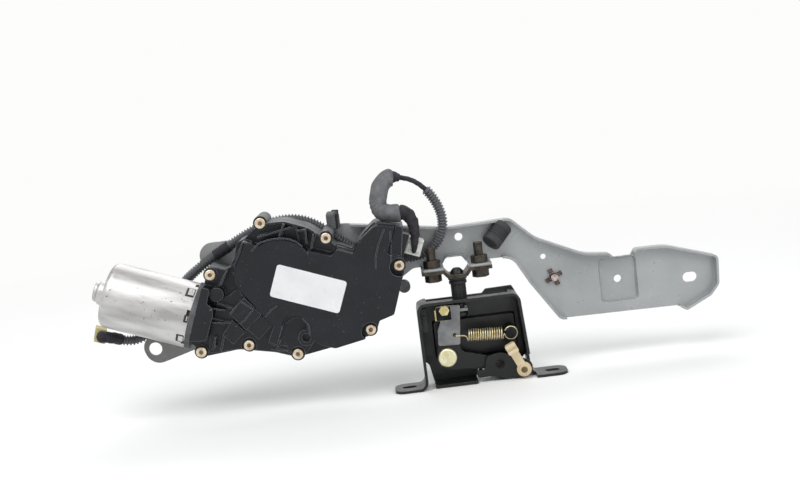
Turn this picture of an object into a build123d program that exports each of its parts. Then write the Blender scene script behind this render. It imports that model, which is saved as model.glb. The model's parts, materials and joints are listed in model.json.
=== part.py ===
from build123d import *
import os
from math import asin, atan2, cos, degrees, hypot, pi, radians, sin, sqrt, tan

# Rear wiper motor module of a tailgate with an opening window: wiper gearmotor, its long
# steel bracket, the window striker and the window latch hooked on it, and the wiring lead.
#
# Frame, in millimetres: X runs along the bracket, Z is up along the striker post, and Y runs
# along the wiper spindle, away from the gear cover. The origin is on the spindle axis at the
# shoulder that the wiper arm seats on. A depth is a distance from there towards the cover.

os.makedirs("parts", exist_ok=True)

# ---- Clearances and common walls -----------------------------------------------------------
running_gap = 0.04      # radial play of a shaft or pin in its bush
fit_gap = 0.2           # gap all round a part that drops into a pocket
moving_gap = 0.4        # gap between parts that pass each other
web_gauge = 2.0         # steel sheet of the bracket
latch_gauge = 2.5       # steel sheet of the latch frame

# ---- Layout of the gearmotor ---------------------------------------------------------------
motor_tilt = 21.5       # the gearmotor hangs turned down by this angle about the spindle
shaft_drop = 58.0       # motor shaft axis below the spindle axis
shaft_depth = 58.0      # motor shaft axis in front of the spindle shoulder
wheel_p = 12.0          # worm wheel axis along the motor shaft, from the spindle

# ---- Worm gear -----------------------------------------------------------------------------
gear_module = 1.0
wheel_teeth = 45
worm_pitch_radius = 5.5
tooth_thickness = 1.1   # at the pitch line, on worm and wheel alike
wheel_face = 9.0        # width of the toothed rim
wheel_rim_radius = 19.0
wheel_hub_radius = 7.0
wheel_web = 3.0
addendum = gear_module
dedendum = 1.2 * gear_module
worm_lead = pi * gear_module
wheel_pitch_radius = gear_module * wheel_teeth / 2
wheel_q = -shaft_drop + worm_pitch_radius + wheel_pitch_radius

# ---- Crank and rocker ----------------------------------------------------------------------
crank_throw = 11.0
sweep_angle = 90.0      # travel of the wiper spindle
crank_plate_radius = 16.0
crank_plate_gauge = 2.0
link_pin_radius = 3.0
rod_gauge = 2.5
rod_width = 8.0
link_eye_radius = 6.0
lever_gauge = 3.0
lever_boss_radius = 9.0
link_gap = 1.0          # between the rod and the output lever

# ---- Motor ---------------------------------------------------------------------------------
can_radius = 29.0
can_wall = 1.8
can_length = 77.0
can_mouth = -66.0       # open end of the can along the motor shaft
bearing_cup_radius = 11.0
bearing_cup_length = 8.0
shaft_radius = 4.0
magnet_thickness = 5.6
core_length = 40.0
air_gap = 0.7
commutator_radius = 10.0
commutator_length = 9.0
winding_slots = 12
end_turn_length = 8.0
end_turn_height = 9.0
end_turn_radius = 13.0
rear_bearing_length = 6.5
front_bearing_length = 7.0
bearing_radius = 7.5
thrust_pad_gauge = 2.0
card_gauge = 2.5        # brush card
brush_size = 6.0
brush_length = 9.0
brush_spring_length = 3.5
box_wall = 1.0
box_middle = 18.5       # middle of a brush box, from the shaft axis
box_length = 13.0
choke_circle = 21.5
choke_radius = 3.5
choke_length = 11.0

# ---- Gear housing and cover ----------------------------------------------------------------
housing_back = 36.0     # depth of the rear face
housing_rim = 66.0      # depth of the face that the cover sits on
housing_wall = 3.0
can_flange_radius = 30.0  # flange of the housing that closes the can
can_flange_gauge = 4.5
gasket_gauge = 0.8
flange_gauge = 2.6      # cover flange
cover_wall = 2.5
cover_top = 84.0        # depth of the plateau over the gears
deck_top = 74.5         # depth of the lower deck beside the plateau
left_block_top = 87.0   # depth of the brush gear's housing beside the can
column_top = 79.0       # depth of the rounded column at the peak
boss_top = 72.0         # depth of the screw seats
plateau_round = 1.5
dome_radius = 31.0      # domed corner over the spindle
screw_recess_radius = 8.0
rib_gauge = 1.6
rim_height = 6.0
boss_radius = 6.2       # cover screw bosses
screw_radius = 2.0
screw_head_radius = 4.65
screw_head_height = 3.2
drive_radius = 2.2      # recess for the driver
drive_depth = 1.8
screw_grip = 16.0       # depth of the screw holes below the rim
mounts_at = [(-30.0, 8.0), (70.0, 12.0), (20.0, -40.0)]
mount_boss_radius = 7.0
mount_bolt_radius = 3.0
mount_bolt_grip = 9.0   # thread of a mounting bolt in its boss
axle_radius = 4.0
axle_boss_radius = 7.5
tower_top = 52.5        # inner end of the spindle tower

# ---- Control board and plug ----------------------------------------------------------------
board_depth = 74.0
board_gauge = 1.6
plug_p = 99.2           # where the plug meets its socket
socket_reach = 5.6      # from there to inside the case wall
plug_q = 49.0
plug_back = 44.0        # depth of the plug's rear side
plug_width = 15.0
plug_height = 14.0
plug_length = 14.0

# ---- Spindle -------------------------------------------------------------------------------
spindle_radius = 5.0
thread_radius = 4.0
thread_length = 14.0
cone_length = 8.0
neck_radius = 11.0
neck_end = 10.0         # depth of the outer end of the neck
bush_wall = 2.5
seal_width = 2.5

# ---- Bracket -------------------------------------------------------------------------------
web_back = 24.0         # depth of the rear face of the bracket's web
flange_height = 8.0     # of the turned lip along the bracket's edges
tab_length = 36.0       # of the two shelves that carry the striker
grommet_flange = 3.0    # rubber between the web and the housing's bosses
grommet_radius = 10.0
grommet_waist = 7.5
sleeve_radius = 4.4
washer_gauge = 1.5
mount_head_flats = 10.0
mount_head_height = 5.0
pocket_depth = 4.0
body_bolt_hole = 3.4
end_slot_x = 362.8
end_slot_z = -55.9
end_slot_length = 13.0
end_slot_width = 9.0
tab_hole_x = -127.5
tab_hole_z = -62.0
tab_hole_radius = 6.0
bumper_x = 190.5
bumper_z = 2.0
bumper_radius = 9.5
bumper_height = 14.0
bumper_stem = 4.0
clip_x = 239.6
clip_z = -40.5
clip_cap = 4.0
clip_stem = 3.0
clip_wing_reach = 8.5
loop_clip_x = 42.5     # where the loop clip holds the conduit
loop_clip_z = 25.5
loop_clip_wall = 2.0
loop_clip_width = 6.0
loop_clip_reach = 10.5  # from the conduit to the clip's stem in the web

# ---- Striker and latch ---------------------------------------------------------------------
striker_x = 151.5
striker_depth = 50.0
striker_bolt_pitch = 42.0
post_radius = 5.0
post_cap_radius = 6.0
post_cap_height = 5.0
post_neck_radius = 3.5
post_head_radius = 6.0
latch_back = 39.0       # depth of the latch's back plate
latch_front = 68.0      # depth of the latch's open front
ear_pitch = 128.0       # between the two mounting slots of the latch
ear_offset = 10.5       # from the striker to the middle between the slots
ear_tip_reach = 13.0
ear_top = -118.5
frame_left = 112.0
frame_right = 202.8
frame_top = -43.0
wall_lean = 5.0         # the right wall leans out by this much at its foot
strip_back = 58.0       # the frame's top is open behind this depth

strap_gauge = 3.0
strap_dip = 5.0
shelf_half = 10.0
neck_top = -48.5
neck_bottom = -57.5
striker_bolt_radius = 4.0
striker_bolt_flats = 13.0
striker_bolt_length = 23.0
bolt_flange_radius = 8.2
bolt_flange_gauge = 1.5
bolt_head_height = 6.0
nut_height = 6.5
ear_slot_depth = 55.0
ear_slot_length = 13.0
ear_slot_width = 7.0
latch_pin_seat = 2.5
hook_pivot = (134.4, -94.9)
lever_pivot = (180.0, -106.0)
spring_anchor_at = (192.0, -78.2)

hook_back = 57.0        # depth of the rear face of the hook's front plate
hook_gauge = 2.5
hook_front = hook_back + hook_gauge
hook_rivet_head = 8.6
hook_rivet_gauge = 5.0
hook_rivet_stem = 4.0
spring_hole_at = (142.8, -75.4)
spring_hole_radius = 1.6
tongue_back = 43.5
arm_back = 53.0
lever_back = 59.0
lever_gauge_latch = 2.5
lever_front = lever_back + lever_gauge_latch
lever_rivet_stem = 3.0
lever_rivet_head = 3.8
lever_notch_top = -98.5
drive_pin_at = (162.5, -112.0)
drive_pin_radius = 2.2
rod_clip_at = (200.0, -112.0)
rod_clip_tip = (188.9, -87.6)
rod_clip_stem = 2.0
rod_clip_boss = 2.4     # lifts the clip clear of the lever's pivot
rod_clip_eye = 6.4
rod_clip_pin = 2.4
spring_depth = 64.5
spring_radius = 5.75
spring_wire = 1.4
spring_anchor_stem = 5.0
spring_lead_in = 11.6
panel_left = 124.5
panel_right = 199.0
panel_top = -63.5
panel_bottom = -99.0
panel_rise = 5.0

# ---- Wiring --------------------------------------------------------------------------------
conduit_radius = 4.6
cable_radius = 2.3
foam_radius = 7.5
sleeve_tape_radius = 5.0
plug_lead_radius = 3.6

# ============================================================================================
# Planes and shared geometry
# ============================================================================================
tilt_cos = cos(radians(motor_tilt))
tilt_sin = sin(radians(motor_tilt))
shaft_direction = Vector(tilt_cos, 0, -tilt_sin)


def tilted_xz(p, q):
    """X and Z of a point given along (p) and across (q) the tilted motor shaft."""
    return p * tilt_cos + q * tilt_sin, -p * tilt_sin + q * tilt_cos


def row_plane(depth):
    """A plane across the spindle that faces the cover side, with X to its right and Z up."""
    return Plane(origin=(0, -depth, 0), x_dir=(1, 0, 0), z_dir=(0, -1, 0))


def motor_plane(depth):
    """The same plane turned with the gearmotor: p to its right and q up."""
    return Plane(origin=(0, -depth, 0), x_dir=shaft_direction, z_dir=(0, -1, 0))


def shaft_section(p):
    """A plane across the motor shaft, with q to its right and depth up."""
    x, z = tilted_xz(p, -shaft_drop)
    return Plane(origin=(x, -shaft_depth, z), x_dir=(tilt_sin, 0, tilt_cos), z_dir=shaft_direction)


shaft_x, shaft_z = tilted_xz(0, -shaft_drop)
shaft_axis = Axis((shaft_x, -shaft_depth, shaft_z), shaft_direction)
shaft_profile_plane = Plane(
    origin=(shaft_x, -shaft_depth, shaft_z), x_dir=shaft_direction, z_dir=(tilt_sin, 0, tilt_cos)
)
spindle_axis = Axis((0, 0, 0), (0, 1, 0))
spindle_profile_plane = Plane(origin=(0, 0, 0), x_dir=(0, -1, 0), z_dir=(0, 0, 1))


def rounded_face(corners):
    """A face with the given outline, as (across, up, corner radius) for each corner."""
    with BuildSketch() as face:
        with BuildLine():
            FilletPolyline(*[(a, b) for a, b, _ in corners], radius=[r for _, _, r in corners], close=True)
        make_face()
    return face.sketch


# Outline shared by the housing, its gasket and the cover, in p and q.
case_corners = [
    (-24.0, 38.5, 5),
    (-9.0, 44.6, 25),
    (13.0, 44.4, 25),
    (27.0, 40.0, 5),
    (39.5, 34.4, 3),
    (55.8, 34.4, 3),
    (56.6, 44.0, 12),
    (67.0, 63.0, 8),
    (91.5, 66.5, 2.5),
    (97.0, 40.5, 3),
    (102.6, 28.0, 4),
    (103.8, -9.5, 3),
    (93.2, -17.6, 2),
    (92.5, -32.0, 5),
    (62.0, -51.0, 8),
    (40.0, -64.0, 6),
    (30.0, -69.0, 6),
    (12.0, -69.4, 20),
    (-19.0, -74.6, 20),
    (-46.0, -88.0, 4),
    (-62.0, -79.0, 3),
    (-62.0, -10.4, 2),
    (-47.5, -9.8, 3),
    (-41.8, -4.0, 3),
    (-43.2, 16.0, 4),
    (-37.6, 20.6, 4),
    (-32.0, 30.8, 6),
]
cover_screws_at = [
    (-27.4, 37.6),
    (30.0, 39.2),
    (-58.3, -16.5),
    (-50.1, -84.1),
    (-11.5, -67.9),
    (31.3, -65.0),
    (87.1, -28.3),
    (96.6, 32.0),
]


with BuildSketch() as case_face:
    add(rounded_face(case_corners))
    with Locations(*cover_screws_at):
        Circle(boss_radius)


# The wheel starts with the crank pin in line between its own axis and the rocker pin, at the
# end of the spindle's sweep. The crank and rod then reach their other dead point half a turn on.
ground_length = hypot(wheel_p, wheel_q)
rocker_length = crank_throw / sin(radians(sweep_angle / 2))
rod_length = sqrt(crank_throw**2 + ground_length**2 - rocker_length**2)
wheel_centre = Vector(wheel_p, wheel_q)
toward_wheel = wheel_centre.normalized()
far_reach = rod_length + crank_throw
along = (rocker_length**2 - far_reach**2 + ground_length**2) / (2 * ground_length)
across = sqrt(rocker_length**2 - along**2)
rocker_pin_at = toward_wheel * along + Vector(-toward_wheel.Y, toward_wheel.X) * across
crank_pin_at = wheel_centre + (rocker_pin_at - wheel_centre).normalized() * crank_throw
print(f"rocker {rocker_length:.2f}, rod {rod_length:.2f}, rocker pin {rocker_pin_at}")

# ============================================================================================
# Motor
# ============================================================================================
can_end = can_mouth - can_length
cup_end = can_end - bearing_cup_length
can_bore = can_radius - can_wall
magnet_bore = can_bore - magnet_thickness
core_radius = magnet_bore - air_gap
core_start = can_end + 18.0
core_end = core_start + core_length

with BuildPart() as motor_can:
    with BuildSketch(shaft_profile_plane):
        with BuildLine():
            FilletPolyline(
                (cup_end, 0),
                (cup_end, bearing_cup_radius),
                (can_end, bearing_cup_radius),
                (can_end, can_radius),
                (can_mouth, can_radius),
                (can_mouth, can_bore),
                (can_end + can_wall, can_bore),
                (can_end + can_wall, bearing_cup_radius - can_wall),
                (cup_end + can_wall, bearing_cup_radius - can_wall),
                (cup_end + can_wall, 0),
                radius=[3, 2, 6, 0, 0, 6 - can_wall, 0, 1.2],
            )
            Line((cup_end + can_wall, 0), (cup_end, 0))
        make_face()
    revolve(axis=shaft_axis)
    # Crimping notches round the mouth, where the can is staked to the housing.
    notch_depth = 3.0
    with BuildSketch(shaft_section(can_mouth)):
        with PolarLocations(can_radius - can_wall / 2, 6, start_angle=15):
            Rectangle(can_wall * 2, 5)
    extrude(amount=-notch_depth, mode=Mode.SUBTRACT)
motor_can.part.label = "motor_can"
export_step(motor_can.part, "parts/motor_can.step")

magnet_arc = 130.0
with BuildPart() as field_magnets:
    with BuildSketch(shaft_section(core_start - 2)):
        Circle(can_bore)
        Circle(magnet_bore, mode=Mode.SUBTRACT)
        gap_width = 2 * can_bore * sin(radians((180 - magnet_arc) / 2))
        Rectangle(gap_width, 2 * can_radius, mode=Mode.SUBTRACT)
    extrude(amount=core_length + 4)
field_magnets.part.label = "field_magnets"
export_step(field_magnets.part, "parts/field_magnets.step")

thread_start = wheel_p - 3 * worm_lead
thread_turned = 6 * worm_lead
worm_end = wheel_p + 4 * worm_lead
worm_start = wheel_p - 4 * worm_lead
thrust_end = worm_end + 5.0
worm_tip_radius = worm_pitch_radius + addendum
worm_root_radius = worm_pitch_radius - dedendum
journal_radius = 3.0
flank_slope = tan(radians(20))
thread_root_half = tooth_thickness / 2 + (dedendum + 0.3) * flank_slope
thread_tip_half = tooth_thickness / 2 - addendum * flank_slope
# The worm's thread, wound about Z and then set on the shaft.
with BuildPart() as worm_thread:
    with BuildLine():
        Helix(pitch=worm_lead, height=thread_turned, radius=worm_root_radius)
    with BuildSketch(Plane(origin=(worm_root_radius, 0, 0), x_dir=(1, 0, 0), z_dir=(0, 1, 0))):
        with BuildLine():
            Polyline(
                (-0.3, -thread_root_half),
                (dedendum + addendum, -thread_tip_half),
                (dedendum + addendum, thread_tip_half),
                (-0.3, thread_root_half),
                close=True,
            )
        make_face()
    sweep(is_frenet=True)

with BuildPart() as armature_shaft:
    with BuildSketch(shaft_profile_plane):
        with BuildLine():
            Polyline(
                (cup_end + can_wall + 0.5, 0),
                (cup_end + can_wall + 0.5, shaft_radius),
                (worm_start, shaft_radius),
                (worm_start, worm_root_radius),
                (worm_end, worm_root_radius),
                (worm_end, journal_radius),
                (thrust_end, journal_radius),
                (thrust_end, 0),
                close=True,
            )
        make_face()
    revolve(axis=shaft_axis)
    add(shaft_section(thread_start).location * worm_thread.part)
armature_shaft.part.label = "armature_shaft"
export_step(armature_shaft.part, "parts/armature_shaft.step")

with BuildPart() as armature_core:
    with BuildSketch(shaft_section(core_start)):
        Circle(core_radius)
        Circle(shaft_radius, mode=Mode.SUBTRACT)
        with PolarLocations(core_radius - 5.5, winding_slots):
            SlotCenterToCenter(4.0, 3.0, mode=Mode.SUBTRACT)
        with PolarLocations(core_radius - 1.0, winding_slots):
            Rectangle(4.0, 1.4, mode=Mode.SUBTRACT)
    extrude(amount=core_length)
armature_core.part.label = "armature_core"
export_step(armature_core.part, "parts/armature_core.step")

# The windings show as a rounded bundle of end turns at each end of the core.
with BuildPart() as armature_windings:
    with BuildSketch(shaft_profile_plane):
        with Locations((core_start - end_turn_length / 2, end_turn_radius)):
            RectangleRounded(end_turn_length, end_turn_height, 2.2)
        with Locations((core_end + end_turn_length / 2, end_turn_radius)):
            RectangleRounded(end_turn_length, end_turn_height, 2.2)
    revolve(axis=shaft_axis)
armature_windings.part.label = "armature_windings"
export_step(armature_windings.part, "parts/armature_windings.step")

commutator_end = can_mouth - 1.5
with BuildPart() as commutator:
    with BuildSketch(shaft_section(commutator_end - commutator_length)):
        Circle(commutator_radius)
        with PolarLocations(commutator_radius, winding_slots, start_angle=15):
            Rectangle(1.2, 0.7, mode=Mode.SUBTRACT)
        Circle(shaft_radius, mode=Mode.SUBTRACT)
    extrude(amount=commutator_length)
commutator.part.label = "commutator"
export_step(commutator.part, "parts/commutator.step")

with BuildPart() as rear_bearing:
    with BuildSketch(shaft_section(cup_end + can_wall + 1.3)):
        Circle(bearing_cup_radius - can_wall)
        Circle(shaft_radius + running_gap, mode=Mode.SUBTRACT)
    extrude(amount=rear_bearing_length)
rear_bearing.part.label = "rear_bearing"
export_step(rear_bearing.part, "parts/rear_bearing.step")

with BuildPart() as front_bearing:
    with BuildSketch(shaft_section(can_mouth)):
        Circle(bearing_radius)
        Circle(shaft_radius + running_gap, mode=Mode.SUBTRACT)
    extrude(amount=front_bearing_length)
front_bearing.part.label = "front_bearing"
export_step(front_bearing.part, "parts/front_bearing.step")

with BuildPart() as thrust_pad:
    with BuildSketch(shaft_section(thrust_end + 0.1)):
        Circle(journal_radius)
    extrude(amount=thrust_pad_gauge)
thrust_pad.part.label = "thrust_pad"
export_step(thrust_pad.part, "parts/thrust_pad.step")

# Brush gear: a card across the can's mouth with two boxes, each with its brush and spring.
card_start = can_mouth - card_gauge
brush_start = card_start - brush_size - 2 * box_wall
with BuildPart() as brush_holder:
    with BuildSketch(shaft_section(card_start)):
        Circle(can_bore - fit_gap)
        Circle(commutator_radius + 2, mode=Mode.SUBTRACT)
    extrude(amount=card_gauge)
    with BuildSketch(shaft_section(brush_start)):
        with PolarLocations(box_middle, 2):
            Rectangle(box_length, brush_size + 2 * box_wall)
    extrude(amount=card_start - brush_start)
    with BuildSketch(shaft_section(brush_start + box_wall)):
        with PolarLocations(box_middle, 2):
            Rectangle(box_length, brush_size + 2 * fit_gap)
    extrude(amount=brush_size + 2 * fit_gap, mode=Mode.SUBTRACT)
brush_holder.part.label = "brush_holder"
export_step(brush_holder.part, "parts/brush_holder.step")

brush_inner = commutator_radius + running_gap
with BuildPart() as carbon_brushes:
    with BuildSketch(shaft_section(brush_start + box_wall + fit_gap)):
        with PolarLocations(brush_inner + brush_length / 2, 2):
            Rectangle(brush_length, brush_size)
    extrude(amount=brush_size)
carbon_brushes.part.label = "carbon_brushes"
export_step(carbon_brushes.part, "parts/carbon_brushes.step")

spring_middle = brush_inner + brush_length + brush_spring_length / 2
with BuildPart() as brush_springs:
    with BuildSketch(shaft_section(brush_start + box_wall + fit_gap + 1)):
        with PolarLocations(spring_middle, 2):
            Rectangle(brush_spring_length, brush_size - 2)
    extrude(amount=brush_size - 2)
brush_springs.part.label = "brush_springs"
export_step(brush_springs.part, "parts/brush_springs.step")

with BuildPart() as suppressor_chokes:
    with BuildSketch(shaft_section(card_start)):
        with PolarLocations(choke_circle, 2, start_angle=90):
            Circle(choke_radius)
    extrude(amount=-choke_length)
suppressor_chokes.part.label = "suppressor_chokes"
export_step(suppressor_chokes.part, "parts/suppressor_chokes.step")

# ============================================================================================
# Gear housing
# ============================================================================================
with BuildSketch() as cavity_face:
    add(rounded_face(case_corners))
    offset(amount=-housing_wall)
    with Locations(*cover_screws_at):
        Circle(boss_radius - 0.6, mode=Mode.SUBTRACT)

floor_depth = housing_back + housing_wall
wheel_start = shaft_depth - wheel_face / 2
neck_bore = spindle_radius + bush_wall
lug_x, lug_z = 104.0, -30.6

with BuildPart() as gear_housing:
    with BuildSketch(motor_plane(housing_back)):
        add(case_face.sketch)
    extrude(amount=housing_rim - housing_back)
    with BuildSketch(motor_plane(floor_depth)):
        add(cavity_face.sketch)
    extrude(amount=housing_rim - floor_depth, mode=Mode.SUBTRACT)
    # Flange that closes the can's mouth.
    with BuildSketch(shaft_section(can_mouth)):
        Circle(can_flange_radius)
    extrude(amount=can_flange_gauge)
    # Bearing block round the end of the shaft.
    with BuildSketch(motor_plane(housing_back)):
        with Locations(((worm_end + 1 + thrust_end + 4) / 2, -shaft_drop)):
            Rectangle(thrust_end + 3 - worm_end, 15)
    extrude(amount=housing_rim - 1 - housing_back)
    # Spindle tower inside and neck outside.
    with BuildSketch(motor_plane(neck_end)):
        Circle(neck_radius)
    extrude(amount=tower_top - neck_end)
    # Wheel axle boss.
    with BuildSketch(motor_plane(housing_back)):
        with Locations((wheel_p, wheel_q)):
            Circle(axle_boss_radius)
    extrude(amount=wheel_start - moving_gap - 2 - housing_back)
    # Mounting bosses on the rear face.
    with BuildSketch(motor_plane(web_back + web_gauge + grommet_flange)):
        with Locations(*mounts_at):
            Circle(mount_boss_radius)
    extrude(amount=housing_back - web_back - web_gauge - grommet_flange)
    # Locating lug beside the bracket's lower edge.
    with BuildSketch(row_plane(housing_back - 4)):
        with Locations((lug_x, lug_z)):
            Circle(5.5)
        with Locations((lug_x - 6, lug_z + 3)):
            Rectangle(12, 7, rotation=-20)
    extrude(amount=8)
    # Stiffening ribs across the rear face.
    with BuildSketch(motor_plane(housing_back - 3)):
        for mount in mounts_at:
            reach = hypot(*mount)
            with Locations((mount[0] / 2, mount[1] / 2)):
                Rectangle(reach, 3, rotation=degrees(atan2(mount[1], mount[0])))
    extrude(amount=4)
    # Bores.
    with BuildSketch(motor_plane(neck_end - 1)):
        Circle(neck_bore)
    extrude(amount=tower_top - neck_end + 2, mode=Mode.SUBTRACT)
    with BuildSketch(motor_plane(floor_depth - 1)):
        with Locations((wheel_p, wheel_q)):
            Circle(axle_radius)
    extrude(amount=wheel_start - floor_depth, mode=Mode.SUBTRACT)
    with BuildSketch(shaft_section(can_mouth - 1)):
        Circle(bearing_radius)
    extrude(amount=front_bearing_length + 1, mode=Mode.SUBTRACT)
    with BuildSketch(shaft_section(worm_end)):
        Circle(journal_radius + running_gap)
    extrude(amount=thrust_end - worm_end + 0.1 + thrust_pad_gauge, mode=Mode.SUBTRACT)
    with BuildSketch(shaft_section(worm_start - 1)):
        Circle(worm_tip_radius + 0.6)
    extrude(amount=worm_end - worm_start + 2, mode=Mode.SUBTRACT)
    with BuildSketch(motor_plane(housing_rim - screw_grip)):
        with Locations(*cover_screws_at):
            Circle(screw_radius)
    extrude(amount=screw_grip + 1, mode=Mode.SUBTRACT)
    with BuildSketch(motor_plane(web_back + web_gauge)):
        with Locations(*mounts_at):
            Circle(mount_bolt_radius)
    extrude(amount=mount_bolt_grip, mode=Mode.SUBTRACT)
gear_housing.part.label = "gear_housing"
export_step(gear_housing.part, "parts/gear_housing.step")

# ============================================================================================
# Worm wheel, crank and rocker
# ============================================================================================
wheel_end = wheel_start + wheel_face
plate_end = wheel_end + crank_plate_gauge
rod_start = plate_end + 1.5
rod_end = rod_start + rod_gauge
lever_start = rod_end + link_gap
lever_end = lever_start + lever_gauge


def tooth_points():
    """Corners of the wheel's teeth. A gap, not a tooth, points straight down at the worm."""
    points = []
    pitch_angle = 360 / wheel_teeth
    for tooth in range(wheel_teeth):
        middle = radians(-90 + (tooth + 0.5) * pitch_angle)
        for radius, side in ((-dedendum, -1), (addendum, -1), (addendum, 1), (-dedendum, 1)):
            reach = wheel_pitch_radius + radius
            half = tooth_thickness / 2 - radius * flank_slope
            angle = middle + side * asin(half / reach)
            points.append((wheel_p + reach * cos(angle), wheel_q + reach * sin(angle)))
    return points


with BuildPart() as worm_wheel:
    with BuildSketch(motor_plane(wheel_start)):
        with BuildLine():
            Polyline(*tooth_points(), close=True)
        make_face()
    extrude(amount=wheel_face)
    with BuildSketch(motor_plane(wheel_start)):
        with Locations((wheel_p, wheel_q)):
            Circle(wheel_rim_radius)
            Circle(wheel_hub_radius, mode=Mode.SUBTRACT)
    extrude(amount=(wheel_face - wheel_web) / 2, mode=Mode.SUBTRACT)
    with BuildSketch(motor_plane(wheel_start - 2)):
        with Locations((wheel_p, wheel_q)):
            Circle(wheel_hub_radius)
    extrude(amount=2)
    with BuildSketch(motor_plane(wheel_start - 3)):
        with Locations((wheel_p, wheel_q)):
            Circle(axle_radius + running_gap)
    extrude(amount=wheel_face + 4, mode=Mode.SUBTRACT)
worm_wheel.part.label = "worm_wheel"
export_step(worm_wheel.part, "parts/worm_wheel.step")

with BuildPart() as crank_plate:
    with BuildSketch(motor_plane(wheel_end)):
        with Locations((wheel_p, wheel_q)):
            Circle(crank_plate_radius)
            Circle(axle_radius + 0.5, mode=Mode.SUBTRACT)
    extrude(amount=crank_plate_gauge)
crank_plate.part.label = "crank_plate"
export_step(crank_plate.part, "parts/crank_plate.step")

with BuildPart() as wheel_axle:
    with BuildSketch(motor_plane(floor_depth - 1)):
        with Locations((wheel_p, wheel_q)):
            Circle(axle_radius)
    extrude(amount=plate_end - floor_depth + 1)
wheel_axle.part.label = "wheel_axle"
export_step(wheel_axle.part, "parts/wheel_axle.step")

# The crank pin stays in the rod and stops short of the crank plate, which leaves this pivot open.
with BuildPart() as crank_pin:
    with BuildSketch(motor_plane(plate_end + moving_gap)):
        with Locations(crank_pin_at):
            Circle(link_pin_radius)
    extrude(amount=rod_end + 1.5 - plate_end - moving_gap)
crank_pin.part.label = "crank_pin"
export_step(crank_pin.part, "parts/crank_pin.step")


def link_face(start, start_radius, end, end_radius, width):
    """A flat link: a bar between two round eyes."""
    middle = (start + end) * 0.5
    span = end - start
    with BuildSketch() as face:
        with Locations(start):
            Circle(start_radius)
        with Locations(end):
            Circle(end_radius)
        with Locations(middle):
            Rectangle(span.length, width, rotation=degrees(atan2(span.Y, span.X)))
    return face.sketch


rod_face = link_face(rocker_pin_at, link_eye_radius, crank_pin_at, link_eye_radius, rod_width)
lever_face = link_face(Vector(0, 0), lever_boss_radius, rocker_pin_at, link_eye_radius, 11)

with BuildPart() as coupling_rod:
    with BuildSketch(motor_plane(rod_start)):
        add(rod_face)
        with Locations(crank_pin_at):
            Circle(link_pin_radius, mode=Mode.SUBTRACT)
        with Locations(rocker_pin_at):
            Circle(link_pin_radius + running_gap, mode=Mode.SUBTRACT)
    extrude(amount=rod_gauge)
coupling_rod.part.label = "coupling_rod"
export_step(coupling_rod.part, "parts/coupling_rod.step")

with BuildPart() as output_lever:
    with BuildSketch(motor_plane(lever_start)):
        add(lever_face)
        Circle(thread_radius, mode=Mode.SUBTRACT)
        with Locations(rocker_pin_at):
            Circle(link_pin_radius, mode=Mode.SUBTRACT)
    extrude(amount=lever_gauge)
output_lever.part.label = "output_lever"
export_step(output_lever.part, "parts/output_lever.step")

with BuildPart() as rocker_pin:
    with BuildSketch(motor_plane(rod_start - 0.9)):
        with Locations(rocker_pin_at):
            Circle(link_pin_radius + 1.3)
    extrude(amount=0.8)
    with BuildSketch(motor_plane(rod_start - 0.9)):
        with Locations(rocker_pin_at):
            Circle(link_pin_radius)
    extrude(amount=lever_end - rod_start + 0.9)
    with BuildSketch(motor_plane(rod_end + 0.2)):
        with Locations(rocker_pin_at):
            Circle(link_pin_radius + 1.3)
    extrude(amount=link_gap - 0.2)
rocker_pin.part.label = "rocker_pin"
export_step(rocker_pin.part, "parts/rocker_pin.step")

with BuildPart() as wiper_spindle:
    with BuildSketch(spindle_profile_plane):
        with BuildLine():
            Polyline(
                (-thread_length, 0),
                (-thread_length, thread_radius - 0.8),
                (0.8 - thread_length, thread_radius),
                (0, thread_radius),
                (0, spindle_radius - 0.5),
                (cone_length, spindle_radius),
                (lever_start, spindle_radius),
                (lever_start, thread_radius),
                (lever_end + 1, thread_radius),
                (lever_end + 1, 0),
                close=True,
            )
        make_face()
    revolve(axis=spindle_axis)
    with BuildSketch(row_plane(neck_end - 1.4)):
        Circle(spindle_radius)
        Circle(spindle_radius - 0.6, mode=Mode.SUBTRACT)
    extrude(amount=1.1, mode=Mode.SUBTRACT)
wiper_spindle.part.label = "wiper_spindle"
export_step(wiper_spindle.part, "parts/wiper_spindle.step")

with BuildPart() as spindle_clip:
    with BuildSketch(row_plane(neck_end - 1.35)):
        Circle(neck_radius - 2.5)
        Circle(spindle_radius - 0.5, mode=Mode.SUBTRACT)
    extrude(amount=1.0)
spindle_clip.part.label = "spindle_clip"
export_step(spindle_clip.part, "parts/spindle_clip.step")

with BuildPart() as spindle_bushes:
    for start, end in ((neck_end + seal_width + 1, web_back), (floor_depth + 3, tower_top)):
        with BuildSketch(row_plane(start)):
            Circle(neck_bore)
            Circle(spindle_radius + running_gap, mode=Mode.SUBTRACT)
        extrude(amount=end - start)
spindle_bushes.part.label = "spindle_bushes"
export_step(spindle_bushes.part, "parts/spindle_bushes.step")

with BuildPart() as spindle_seal:
    with BuildSketch(row_plane(neck_end + 0.5)):
        Circle(neck_bore)
        Circle(spindle_radius + running_gap, mode=Mode.SUBTRACT)
    extrude(amount=seal_width)
spindle_seal.part.label = "spindle_seal"
export_step(spindle_seal.part, "parts/spindle_seal.step")

# ============================================================================================
# Gear cover
# ============================================================================================
cover_seat = housing_rim + gasket_gauge
flange_top = cover_seat + flange_gauge

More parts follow.
